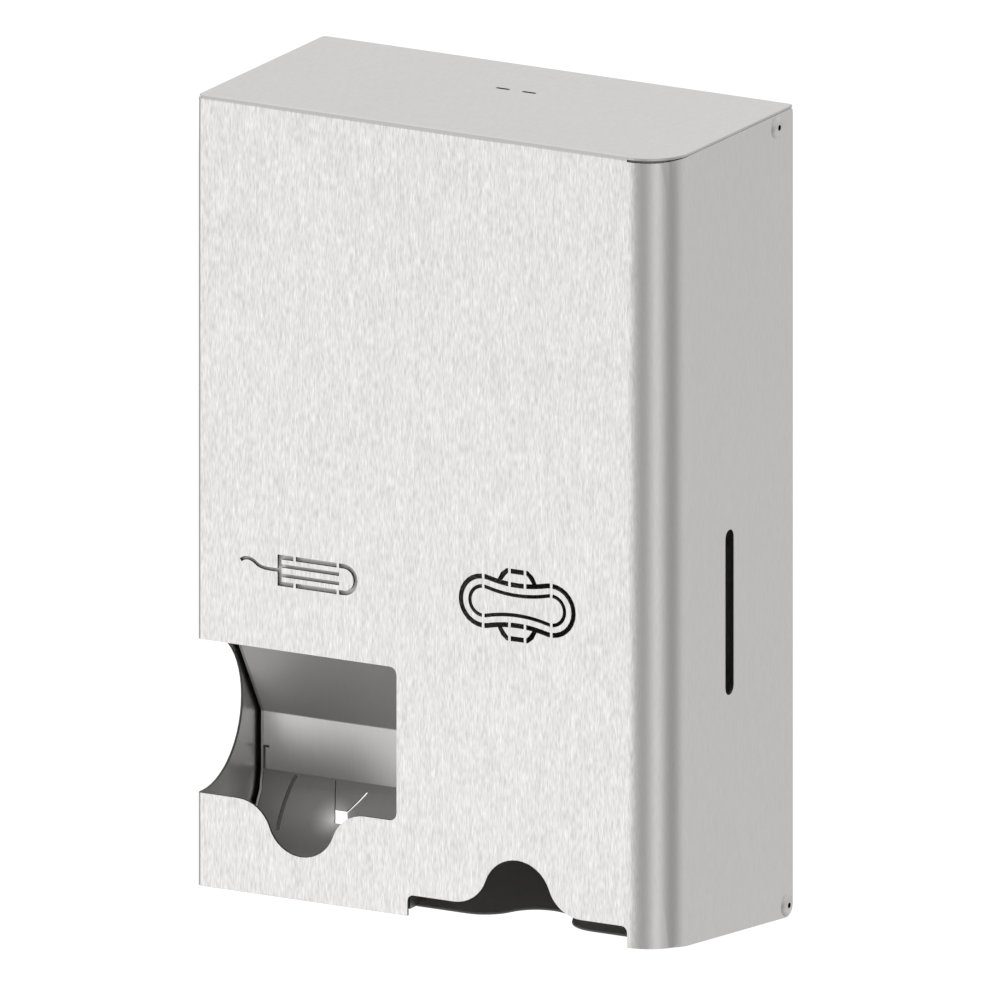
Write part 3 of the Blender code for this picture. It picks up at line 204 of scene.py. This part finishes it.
# Steels: level, tint, roughness, the grain's strength and fineness, the share of the grain that is
# kept off the front face, and how metallic the steel is, where not in full
STEELS = {
    "cut_edge": (0.70, WARM, 0.42, 0.30, CUT_GRAIN, 1.0),
    # Small cut edges and the rivets' holes, darkened as painted shade
    "slot_edge_painted_shade": (0.10, WARM, 0.50, 0.40, SLOT_GRAIN, 1.0),
    "broken_edge": (0.70, WARM, 0.38, 0.30, BROKEN_GRAIN, 1.0),
    "hood_steel": (0.79, WARM, 0.30, 0.74, HOOD_GRAIN, 0.24),
    "inner_steel": (0.74, SATIN, 0.38, 0.10, SHEET_GRAIN, 0.8, 0.85),
    "plate_steel": (0.76, SATIN, 0.52, 0.10, SHEET_GRAIN, 0.8, 0.4),
    # From here to the tray: the inner steel darkened as painted shade inside the dispenser, the
    # base housing's most of all
    "side_plate_painted_shade": (0.62, SATIN, 0.52, 0.10, SHEET_GRAIN, 0.8, 0.2),
    "dull_steel": (0.10, SATIN, 0.50, 0.30, MILL_GRAIN, 1.0),
    "divider_painted_shade": (0.36, SATIN, 0.50, 0.30, MILL_GRAIN, 1.0),
    "tray_shade_and_highlight": (0.37, SATIN, 0.55, 0.10, SHEET_GRAIN, 0.8, 0.78),
    "inner_edge": (0.62, SATIN, 0.42, 0.20, CUT_GRAIN, 1.0),
    # Small cut edges of the inner sheets, darkened as painted shade
    "inner_slot_painted_shade": (0.08, SATIN, 0.55, 0.40, SLOT_GRAIN, 1.0),
    "rivet_steel": (0.74, RIVET_TINT, 0.30, 0.12, RIVET_GRAIN, 1.0),
    "spring_steel": (0.42, SPRING_TINT, 0.28, 0.15, SPRING_GRAIN, 1.0),
}

# The back panel's rear face, brighter than its other faces, which are darkened as painted shade,
# and a painted highlight beside the tray's square hole: its middle, reach and gain
STEEL_EXTRAS = {
    "dull_steel": {"rear": 3.2},
    "tray_shade_and_highlight": {"painted_highlight": ((-0.0805, -0.0712, -0.1645), 0.0125, 1.9)},
}

# Coats: level, roughness and the haze's strength
COATS = {"black_floor": (0.066, 0.45, 0.3), "black_nylon": (0.03, 0.55, 0.2)}

# Pieces whose steel isn't simply that of their slot: the pad side plate, the divider and the
# tray get the inner steel darkened as painted shade inside the dispenser, and the front plate a
# rougher one
OWN_FINISH = {
    "tampon_tray": "tray_shade_and_highlight",
    "tampon_front_plate": "plate_steel",
    "pad_side_plate": "side_plate_painted_shade",
    "magazine_divider": "divider_painted_shade",
}

# The studio: a plain light from all around, and a dome round the object that only the steel mirrors
WORLD_LEVEL = 0.75
DOME_RADIUS = 4.5
DOME_STEPS = 48

# Brightness of the dome by azimuth in degrees, for level and falling rays
ROOM = ((-180, 0.42), (-150, 0.50), (-137, 0.85), (-127, 1.15), (-119, 1.18), (-108, 0.98),
        (-96, 0.50), (-84, 0.39), (-78, 0.35), (-70, 0.38), (-56, 0.60), (-44, 0.91), (-32, 0.71),
        (-16, 0.36), (-4, 0.30), (10, 0.38), (24, 0.61), (36, 0.67), (61, 0.62), (90, 0.64),
        (104, 0.60), (114, 0.42), (122, 0.33), (150, 0.31), (180, 0.42))

# The same for rays that rise
SKY = ((-180, 0.62), (-119, 0.68), (-60, 0.60), (0, 0.60), (60, 0.70), (100, 0.76), (119, 0.74),
       (140, 0.70), (160, 0.64), (180, 0.62))

# Sines of elevation: where the room's brightness falls, with the gain at both ends, where the room
# turns into the sky, and where it turns into the ground, with the ground's level
ROOM_FALL = (-0.56, 0.04, 1.18, 0.82)
HORIZON = (-0.10, 0.06)
NADIR = (-0.45, -0.85)
GROUND_LEVEL = 0.28

# A brighter patch high in the rear left: the sines of elevation where it starts, is full, fades and
# ends, how it grows to the rear and to the left, and its level
PATCH = (0.44, 0.56, 0.78, 0.86)
PATCH_REAR = (0.0, 0.3)
PATCH_LEFT = (0.1, -0.1)
PATCH_LEVEL = 0.95

# The floor: its reach, how far it lies under the closed dispenser, because the open hood hangs
# lower, and its own level and glow
FLOOR_REACH = 6.0
FLOOR_DROP = 0.15
FLOOR_LEVEL = 0.24
FLOOR_GLOW = 0.87

# The large lamp
KEY_PLACE = (-1.4, -1.6, 2.4)
KEY_AIM = (0, 0, -0.1)
KEY_SIZE = 2.4
KEY_POWER = 22

# The lamp in the pad magazine, close under the hood's top
MAGAZINE_DROP = 0.008
MAGAZINE_SIZE = 0.08
MAGAZINE_POWER = 0.30

# A mix node's sockets by what it mixes: factor, low and high, and its output
MIX_SOCKETS = {"FLOAT": (0, 2, 3, 0), "VECTOR": (0, 4, 5, 1), "RGBA": (0, 6, 7, 2)}


class Tree:
    """Short calls for making and joining shader nodes."""

    def __init__(self, owner):
        owner.use_nodes = True
        self.tree = owner.node_tree
        self.tree.nodes.clear()

    def put(self, socket, value):
        """Joins a socket to another one, or sets it."""
        if isinstance(value, bpy.types.NodeSocket):
            self.tree.links.new(value, socket)
        else:
            socket.default_value = value

    def add(self, kind, *values, settings=None, **inputs):
        """A new node; values go into its first sockets, inputs into those of these names."""
        node = self.tree.nodes.new(kind)
        for name, value in (settings or {}).items():
            setattr(node, name, value)
        for socket, value in zip(node.inputs, values):
            self.put(socket, value)
        for name, value in inputs.items():
            self.put(node.inputs[name.replace("_", " ")], value)
        return node

    def end(self, node, output="ShaderNodeOutputMaterial"):
        """Joins the last node to the output."""
        self.add(output, node.outputs[0])

    def math(self, operation, *values):
        return self.add("ShaderNodeMath", *values, settings={"operation": operation}).outputs[0]

    def vector(self, operation, *values, output="Vector"):
        node = self.add("ShaderNodeVectorMath", *values, settings={"operation": operation})
        return node.outputs[output]

    def mix(self, kind, factor, low, high, blend="MIX"):
        """A blend of two numbers, vectors or colours."""
        node = self.add("ShaderNodeMix", settings={"data_type": kind, "blend_type": blend})
        *sockets, output = MIX_SOCKETS[kind]
        for index, value in zip(sockets, (factor, low, high)):
            self.put(node.inputs[index], value)
        return node.outputs[output]

    def lift(self, base, gain):
        """A colour times a number."""
        return self.mix("RGBA", 1.0, base, gain, "MULTIPLY")

    def span(self, value, low, high, new_low=0.0, new_high=1.0, kind="LINEAR"):
        """A number brought from one range into another, and kept inside it."""
        node = self.add("ShaderNodeMapRange", value, low, high, new_low, new_high,
                        settings={"interpolation_type": kind})
        return node.outputs[0]

    def ramp(self, factor, levels):
        """A grey ramp once around, with linear stops, given as (azimuth in degrees, level)."""
        node = self.add("ShaderNodeValToRGB", factor)
        elements = node.color_ramp.elements
        while len(elements) < len(levels):
            elements.new(0.5)
        for element, (azimuth, level) in zip(elements, levels):
            element.position = (azimuth + 180) / 360
            element.color = (level, level, level, 1.0)
        return node.outputs[0]

    def noise(self, place, scale, detail, roughness):
        return self.add("ShaderNodeTexNoise", Vector=place, Scale=scale, Detail=detail,
                        Roughness=roughness).outputs[0]


def colour(level, tint=(1.0, 1.0, 1.0)):
    return (*(level * part for part in tint), 1.0)


def steel(name, level, tint, roughness, grain, fineness, facing, metallic=1.0, painted_highlight=None,
          rear=0.0):
    """Brushed stainless sheet: streaks along the sheet's upright, a faint haze and fine scratches.

    grain is the streaks' strength; facing is the share of it that is kept off the front face.
    painted_highlight is a highlight painted on as a bright spot: its middle, its reach and how much
    brighter it is.
    rear is how much brighter the face towards the wall is than the other faces, which a low level
    darkens as painted shade.
    """
    material = bpy.data.materials.new(name)
    tree = Tree(material)
    place = tree.add("ShaderNodeTexCoord").outputs
    spot = place["Object"]
    normal = tree.add("ShaderNodeSeparateXYZ", place["Normal"]).outputs
    level_face = tree.math("GREATER_THAN", tree.math("ABSOLUTE", normal[2]), LYING)
    front_face = tree.span(normal[1], -SQUARE, -ASLANT, 1.0, 0.0, "SMOOTHSTEP")

    across, along = fineness
    upright = tree.vector("MULTIPLY", spot, (across, across, along))
    lying = tree.vector("MULTIPLY", spot, (across, along, across))
    grained = tree.mix("VECTOR", level_face, upright, lying)
    streaks = tree.noise(grained, *STREAKS)
    longer = tree.noise(tree.vector("MULTIPLY", grained, LONG_STRETCH), *LONG_STREAKS)
    haze = tree.noise(spot, *STEEL_HAZE)

    strength = tree.mix("FLOAT", front_face, grain * facing, grain)
    centred = tree.math("SUBTRACT", tree.mix("FLOAT", LONG_SHARE, streaks, longer), 0.5)
    streak_part = tree.math("MULTIPLY", centred, strength)
    haze_part = tree.math("MULTIPLY", tree.math("SUBTRACT", haze, 0.5), HAZE_STRENGTH)
    gain = tree.math("ADD", tree.math("ADD", streak_part, haze_part), 1.0)
    # A painted highlight: the colour is lifted round a spot and fades with the distance from it
    if painted_highlight:
        middle, reach, brighter = painted_highlight
        far = tree.vector("DISTANCE", spot, middle, output="Value")
        highlight = tree.math("POWER", tree.span(far, reach, 0.0), PAINTED_HIGHLIGHT_POWER)
        highlight = tree.math("ADD", 1.0, tree.math("MULTIPLY", brighter, highlight))
        gain = tree.math("MULTIPLY", gain, highlight)
    # The face towards the wall is lifted out of the painted shade that the low level gives the
    # others
    if rear:
        rear_face = tree.span(normal[1], ASLANT, SQUARE, 1.0, 1.0 + rear)
        gain = tree.math("MULTIPLY", gain, rear_face)

    gloss = tree.math("MULTIPLY", centred, tree.math("MULTIPLY", strength, STREAK_ROUGHNESS))
    relief = tree.add("ShaderNodeBump", Strength=STREAK_RELIEF, Distance=STREAK_DEPTH,
                      Height=streaks)
    tree.end(tree.add("ShaderNodeBsdfPrincipled", Base_Color=tree.lift(colour(level, tint), gain),
                      Metallic=metallic, Roughness=tree.math("ADD", roughness, gloss),
                      Normal=relief.outputs[0]))
    return material


def coated(name, level, roughness, cloud):
    """A black coat or nylon with a fine, uneven surface; cloud is its haze's strength."""
    material = bpy.data.materials.new(name)
    tree = Tree(material)
    spot = tree.add("ShaderNodeTexCoord").outputs["Object"]
    peel = tree.noise(spot, *PEEL)
    haze = tree.noise(spot, *COAT_HAZE)
    gain = tree.math("MULTIPLY", tree.math("SUBTRACT", haze, 0.5), cloud)
    gain = tree.math("ADD", 1.0, gain)
    matt = tree.span(peel, *COAT_PEEL, roughness - COAT_VARIES, roughness + COAT_VARIES)
    relief = tree.add("ShaderNodeBump", Strength=COAT_RELIEF, Distance=COAT_DEPTH, Height=peel)
    tree.end(tree.add("ShaderNodeBsdfPrincipled",
                      Base_Color=tree.lift(colour(level, COAT_TINT), gain), Roughness=matt,
                      Normal=relief.outputs[0]))
    return material


def link(name, data):
    """A new object in the scene."""
    thing = bpy.data.objects.new(name, data)
    bpy.context.scene.collection.objects.link(thing)
    return thing


def shade(mesh, materials):
    """Gives a mesh smooth bends, sharp edges and its materials."""
    mesh.shade_smooth()
    mesh.set_sharp_from_angle(angle=SMOOTH)
    for material in materials:
        mesh.materials.append(material)


def show(node, mesh, materials):
    """A new piece in the place of a CAD node."""
    shade(mesh, materials)
    piece = link("shown." + node, mesh)
    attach(piece, frame["nodes"][node]["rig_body"])
    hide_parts(node)
    return piece


def cut(bm, faces, axis, place):
    """Splits these faces at one level of an axis."""
    normal = Vector((0, 0, 0))
    normal[axis] = 1
    near = [face for face in faces
            if min(v.co[axis] for v in face.verts) < place < max(v.co[axis] for v in face.verts)]
    if not near:
        return
    edges = {edge for face in near for edge in face.edges}
    verts = {v for face in near for v in face.verts}
    bmesh.ops.bisect_plane(bm, geom=[*near, *edges, *verts], dist=TOUCH, plane_co=normal * place,
                           plane_no=normal)


def find_strips(bm, axis):
    """The faces of the bends that run along an axis."""
    return [face for face in bm.faces if abs(face.normal[axis]) < ALONG_AXIS
            and 0 < max(abs(part) for part in face.normal) < FACES_AXIS]


def split_strips(bm):
    """Cuts the long strips of the bends into short ones, so that their shading stays even."""
    for axis in (0, 2):
        levels = [v.co[axis] for face in find_strips(bm, axis) for v in face.verts]
        if not levels:
            continue
        low, high = min(levels), max(levels)
        count = max(1, round((high - low) / STRIP_STEP))
        places = [low + STRIP_END, high - STRIP_END]
        places += [low + (high - low) * i / count for i in range(1, count)]
        for place in places:
            cut(bm, find_strips(bm, axis), axis, place)


def corner_centre():
    """The centre of the ball that the hood's front left top corner is ground to."""
    low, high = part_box("hood")
    return Vector((low.x, low.y, high.z)) + Vector((1, 1, -1)) * CORNER_RADIUS


def sink_corner(bm):
    """Lowers the hood's front left top corner, to make room for its weld."""
    centre = corner_centre()
    reach = CORNER_RADIUS - CORNER_SINK
    for share in CORNER_CUTS:
        for axis in (0, 1):
            near = [face for face in bm.faces
                    if any((v.co - centre).length < 2 * CORNER_RADIUS for v in face.verts)
                    or (face.normal.z > FACES_UP and face.calc_center_median().z > centre.z)]
            cut(bm, near, axis, centre[axis] + (share - 1) * CORNER_RADIUS)
    slack = WELD_LAP / 2
    for v in bm.verts:
        offset = v.co - centre
        inside = offset.x < slack and offset.y < slack and offset.z > -slack
        if inside and offset.length > reach:
            v.co = centre + offset.normalized() * reach


def make_corner(material):
    """The weld that closes the hood's corner: an eighth of a ball, lapped over its neighbours."""
    centre = corner_centre()
    # The first and the last step are the laps
    steps = [-1] + [i / WELD_STEPS for i in range(WELD_STEPS + 1)] + [2]
    points, faces = [], []
    for radius in (CORNER_RADIUS, CORNER_RADIUS * WELD_INSIDE):
        for across in steps:
            for upward in steps:
                u = math.radians(90 * min(max(across, 0), 1))
                w = math.radians(90 * min(max(upward, 0), 1))
                point = centre + Vector((-math.cos(u) * math.cos(w), -math.sin(u) * math.cos(w),
                                         math.sin(w))) * radius
                if across > 1 and upward <= 1:
                    point.x += WELD_LAP
                if upward < 0:
                    point.z -= WELD_LAP
                points.append(point)
    side = len(steps)
    layer = side * side
    for i in range(side - 1):
        for k in range(side - 1):
            quad = [i * side + k, (i + 1) * side + k, (i + 1) * side + k + 1, i * side + k + 1]
            faces += [quad, [layer + corner for corner in reversed(quad)]]
    rim = [i * side for i in range(side)] + [(side - 1) * side + k for k in range(1, side)]
    rim += [i * side + side - 1 for i in range(side - 2, -1, -1)]
    rim += range(side - 2, 0, -1)
    for a, b in zip(rim, rim[1:] + rim[:1]):
        faces.append([b, a, layer + a, layer + b])
    bm = bmesh.new()
    verts = [bm.verts.new(point) for point in points]
    for face in faces:
        bm.faces.new([verts[i] for i in face])
    bmesh.ops.remove_doubles(bm, verts=bm.verts[:], dist=TOUCH)
    bmesh.ops.recalc_face_normals(bm, faces=bm.faces[:])
    mesh = bpy.data.meshes.new("hood_corner_weld")
    bm.to_mesh(mesh)
    bm.free()
    shade(mesh, [material])
    piece = link("hood_corner_weld", mesh)
    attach(piece, frame["nodes"]["hood"]["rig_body"])
    return piece


def close_fit(bm, node):
    """Brings the chute and the tray against the left wall, and the tray up to the chute."""
    low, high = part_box("tampon_tray")
    for v in bm.verts:
        if abs(v.co.x - low.x) < FIT / 10:
            v.co.x -= FIT
        if node == "tampon_tray" and abs(v.co.z - high.z) < FIT / 10:
            v.co.z += FIT


def sort_faces(bm, small):
    """Numbers a folded sheet's faces: 0 on broad sides, 1 on long cut edges, 2 on small ones."""
    left = set(bm.faces)
    groups = []
    while left:
        start = left.pop()
        group, todo = [start], [start]
        while todo:
            for edge in todo.pop().edges:
                if len(edge.link_faces) != 2 or edge.calc_face_angle(0) > SMOOTH:
                    continue
                for face in edge.link_faces:
                    if face in left:
                        left.discard(face)
                        group.append(face)
                        todo.append(face)
        groups.append(group)
    groups.sort(key=lambda group: sum(face.calc_area() for face in group), reverse=True)
    for i, group in enumerate(groups):
        corners = [v.co for face in group for v in face.verts]
        reach = max(max(c[axis] for c in corners) - min(c[axis] for c in corners)
                    for axis in range(3))
        for face in group:
            face.material_index = 0 if i < 2 else 1 if reach > small else 2


def dress(node, materials, bevel=BEVEL, small=0.0):
    """A finer copy of a CAD node: welded, with smooth bends and softly broken edges.

    materials are those of the broad sides, the long cut edges, the small ones and the broken edges.
    Cut edges no longer than small stay sharp.
    """
    bm = bmesh.new()
    bm.from_mesh(frame["nodes"][node].data)
    bmesh.ops.remove_doubles(bm, verts=bm.verts[:], dist=2 * TOUCH)
    bmesh.ops.dissolve_limit(bm, angle_limit=FLAT, verts=bm.verts[:], edges=bm.edges[:])
    bm.normal_update()
    if len(materials) > 1:
        sort_faces(bm, small)
    if bevel:
        split_strips(bm)
    if node == "hood":
        sink_corner(bm)
    if node in ("tampon_chute", "tampon_tray"):
        close_fit(bm, node)
    bm.normal_update()
    broken = bm.edges.layers.float.new("bevel_weight_edge")
    for edge in bm.edges:
        sharp = len(edge.link_faces) == 2 and edge.calc_face_angle(0) > SMOOTH
        if sharp and all(face.material_index < 2 for face in edge.link_faces):
            edge[broken] = 1.0
    mesh = bpy.data.meshes.new("shown." + node)
    bm.to_mesh(mesh)
    bm.free()
    piece = show(node, mesh, materials)
    if bevel:
        edge = piece.modifiers.new("edges", "BEVEL")
        edge.width = bevel
        edge.segments = BEVEL_STEPS
        edge.limit_method = "WEIGHT"
        edge.use_clamp_overlap = False
        edge.harden_normals = True
        edge.material = len(materials) - 1
    even = piece.modifiers.new("normals", "WEIGHTED_NORMAL")
    even.keep_sharp = True
    even.weight = BROAD_WEIGHT
    return piece


def make_rivet(node, seat, materials):
    """A blind rivet with a crowned head that lies on the sheet at x = seat."""
    low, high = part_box(node)
    out = 1 if abs(high.x - seat) < abs(low.x - seat) else -1
    crown = abs((high.x if out > 0 else low.x) - seat)
    tail = abs((low.x if out > 0 else high.x) - seat)
    centre = (low + high) / 2
    head = (high.z - low.z) / 2

    def rise(share):
        """The crown's height over the sheet, at a share of the head's radius."""
        return crown - RIVET_SLOPE * head / RIVET_POWER * share ** RIVET_POWER

    # From the bottom of the hole over the crown to the end of the tail: how far behind the sheet's
    # face each ring lies, and its radius
    rings = [(RIVET_HOLE_DEPTH, RIVET_HOLE), (-rise(RIVET_RIM) * RIVET_RIM_HEIGHT, RIVET_HOLE)]
    shares = [i / RIVET_STEPS for i in range(RIVET_STEPS + 1)]
    rings += [(-rise(share), head * share) for share in shares
              if head * share > RIVET_HOLE * RIVET_CROWN_START]
    rings += [(RIVET_SINK, head * share) for share in RIVET_UNDERSIDE]
    rings += [(tail * along, head * share) for along, share in RIVET_TAIL]

    points, faces = [], []
    for along, radius in rings:
        for i in range(RIVET_SIDES):
            angle = 2 * math.pi * i / RIVET_SIDES
            points.append((seat - out * along, centre.y + radius * math.cos(angle),
                           centre.z + radius * math.sin(angle)))
    for first in range(0, len(points) - RIVET_SIDES, RIVET_SIDES):
        for i in range(RIVET_SIDES):
            j = (i + 1) % RIVET_SIDES
            faces.append([first + i, first + j, first + RIVET_SIDES + j, first + RIVET_SIDES + i])
    hole_end = list(range(RIVET_SIDES))[::-1]
    tail_end = list(range(len(points) - RIVET_SIDES, len(points)))
    faces += [hole_end, tail_end]
    if out > 0:
        faces = [face[::-1] for face in faces]
    mesh = bpy.data.meshes.new("shown." + node)
    mesh.from_pydata(points, [], faces)
    # The hole's wall and bottom take the second material, dark steel that paints the hole's shade
    hole = [0] * len(faces)
    hole[:RIVET_SIDES] = [1] * RIVET_SIDES
    hole[-2] = 1
    mesh.polygons.foreach_set("material_index", hole)
    return show(node, mesh, materials)


def make_room():
    """The world: white for what looks at it, and a plain soft light for the rest."""
    world = bpy.data.worlds.new("studio")
    bpy.context.scene.world = world
    tree = Tree(world)
    ray = tree.add("ShaderNodeLightPath").outputs
    direct = tree.math("MAXIMUM", ray["Is Camera Ray"], ray["Is Transmission Ray"])
    white = tree.math("MAXIMUM", direct, ray["Is Glossy Ray"])
    level = tree.mix("RGBA", white, colour(WORLD_LEVEL), colour(1.0))
    tree.end(tree.add("ShaderNodeBackground", Color=level, Strength=1.0), "ShaderNodeOutputWorld")


def stage_mesh(name, points, faces):
    """A piece of the stage, with a material of its own that is still empty."""
    mesh = bpy.data.meshes.new(name)
    mesh.from_pydata(points, [], faces)
    mesh.materials.append(bpy.data.materials.new(name))
    piece = link(name, mesh)
    piece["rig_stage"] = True
    return piece


def make_studio(centre):
    """A grey dome far round the object, which gives the steel its light and dark bands."""
    rings = DOME_STEPS // 2
    points = []
    for k in range(rings + 1):
        tilt = math.pi * k / rings
        for i in range(DOME_STEPS):
            turn = 2 * math.pi * i / DOME_STEPS
            way = Vector((math.sin(tilt) * math.cos(turn), math.sin(tilt) * math.sin(turn),
                          math.cos(tilt)))
            points.append(centre + way * DOME_RADIUS)
    faces = []
    for first in range(0, rings * DOME_STEPS, DOME_STEPS):
        for i in range(DOME_STEPS):
            j = (i + 1) % DOME_STEPS
            faces.append((first + i, first + DOME_STEPS + i, first + DOME_STEPS + j, first + j))
    dome = stage_mesh("studio_dome", points, faces)

    tree = Tree(dome.data.materials[0])
    spot = tree.add("ShaderNodeTexCoord").outputs["Object"]
    way = tree.vector("NORMALIZE", tree.vector("SUBTRACT", spot, tuple(centre)))
    x, y, height = tree.add("ShaderNodeSeparateXYZ", way).outputs
    around = tree.span(tree.math("ARCTAN2", y, x), -math.pi, math.pi)
    room = tree.lift(tree.ramp(around, ROOM), tree.span(height, *ROOM_FALL))
    low, full, fading, high = PATCH
    rear_left = tree.math("MULTIPLY", tree.span(y, *PATCH_REAR), tree.span(x, *PATCH_LEFT))
    aloft = tree.math("MULTIPLY", tree.span(height, low, full), tree.span(height, high, fading))
    patch = tree.math("MULTIPLY", rear_left, aloft)
    sky = tree.mix("RGBA", patch, tree.ramp(around, SKY), colour(PATCH_LEVEL))
    above = tree.span(height, *HORIZON, kind="SMOOTHSTEP")
    below = tree.span(height, *NADIR, kind="SMOOTHSTEP")
    level = tree.mix("RGBA", above, room, sky)
    level = tree.mix("RGBA", below, level, colour(GROUND_LEVEL))
    tree.end(tree.add("ShaderNodeEmission", Color=level, Strength=1.0))

    # Only what the steel mirrors shows it
    dome.data.materials[0].cycles.emission_sampling = "NONE"
    dome.visible_camera = False
    dome.visible_diffuse = False
    dome.visible_transmission = False
    dome.visible_shadow = False


def make_floor():
    """A pale floor, which its own glow makes white where no shadow falls."""
    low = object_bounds()[0].z - FLOOR_DROP
    reach = FLOOR_REACH
    corners = [(-reach, -reach, low), (reach, -reach, low), (reach, reach, low),
               (-reach, reach, low)]
    floor = stage_mesh("floor", corners, [(0, 1, 2, 3)])
    tree = Tree(floor.data.materials[0])
    diffuse = tree.add("ShaderNodeBsdfDiffuse", Color=colour(FLOOR_LEVEL))
    light = tree.add("ShaderNodeEmission", Color=colour(1.0), Strength=FLOOR_GLOW)
    tree.end(tree.add("ShaderNodeAddShader", diffuse.outputs[0], light.outputs[0]))
    floor.visible_glossy = False


def make_light(name, place, target, size, power, glossy=False):
    """A round lamp; a glossy one also shows in the steel."""
    data = bpy.data.lights.new(name, "AREA")
    data.shape = "DISK"
    data.size = size
    data.energy = power
    light = link(name, data)
    light.location = place
    light.rotation_euler = (Vector(target) - Vector(place)).to_track_quat("-Z", "Y").to_euler()
    light.visible_glossy = glossy
    light.visible_camera = False


def make_magazine_light():
    """A little light inside the pad magazine, as comes in there from the room."""
    plate_low, plate_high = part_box("pad_side_plate")
    divider_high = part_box("magazine_divider")[1]
    place = Vector(((divider_high.x + plate_low.x) / 2, (plate_low.y + plate_high.y) / 2,
                    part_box("hood")[1].z - MAGAZINE_DROP))
    make_light("magazine", place, place - Vector((0, 0, 1)), MAGAZINE_SIZE, MAGAZINE_POWER,
               glossy=True)


def make_camera():
    """The photograph's view."""
    right = Vector((math.cos(VIEW_AZIMUTH), math.sin(VIEW_AZIMUTH), 0))
    up = Vector((-math.sin(VIEW_AZIMUTH) * math.sin(VIEW_ELEVATION),
                 math.cos(VIEW_AZIMUTH) * math.sin(VIEW_ELEVATION), math.cos(VIEW_ELEVATION)))
    back = right.cross(up)
    low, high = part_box("hood")
    aim = Vector((low.x + VIEW_INSET, low.y, high.z)) + right * VIEW_RIGHT - up * VIEW_DOWN
    data = bpy.data.cameras.new("view")
    data.type = "ORTHO"
    data.ortho_scale = VIEW_SCALE
    data.clip_end = VIEW_REACH
    camera = link("view", data)
    turn = Matrix((right, up, back)).transposed().to_4x4()
    camera.matrix_world = Matrix.Translation(aim + back * VIEW_DISTANCE) @ turn
    bpy.context.scene.camera = camera


hood_low, hood_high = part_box("hood")
make_camera()
make_room()
make_studio((hood_low + hood_high) / 2)
make_floor()
make_light("key", KEY_PLACE, KEY_AIM, KEY_SIZE, KEY_POWER)
make_magazine_light()

looks = {name: steel(name, *values, **STEEL_EXTRAS.get(name, {}))
         for name, values in STEELS.items()}
looks.update({name: coated(name, *values) for name, values in COATS.items()})
hood_edges = [looks["cut_edge"], looks["slot_edge_painted_shade"], looks["broken_edge"]]
inner_edges = [looks["inner_edge"], looks["inner_slot_painted_shade"]]

seats = {"left": hood_low.x, "right": hood_high.x}
make_corner(looks["hood_steel"])
for part in frame["record"]["subparts"]:
    name, slot = part["node"], part["material_slot"]
    finish = looks[OWN_FINISH.get(name, slot)]
    if name.startswith(("rail_rivet", "hinge_rivet")):
        piece = make_rivet(name, seats[name.split("_")[-1]], [finish, looks["slot_edge_painted_shade"]])
    elif slot in ("rivet_steel", "spring_steel", "black_nylon"):
        piece = dress(name, [finish], bevel=0)
    elif slot == "black_floor":
        piece = dress(name, [finish])
    elif slot == "hood_steel":
        piece = dress(name, [finish, *hood_edges], small=HOOD_SMALL_CUT)
    else:
        piece = dress(name, [finish, *inner_edges, finish], INNER_BEVEL, INNER_SMALL_CUT)

scene = bpy.context.scene
scene.view_settings.view_transform = "Standard"
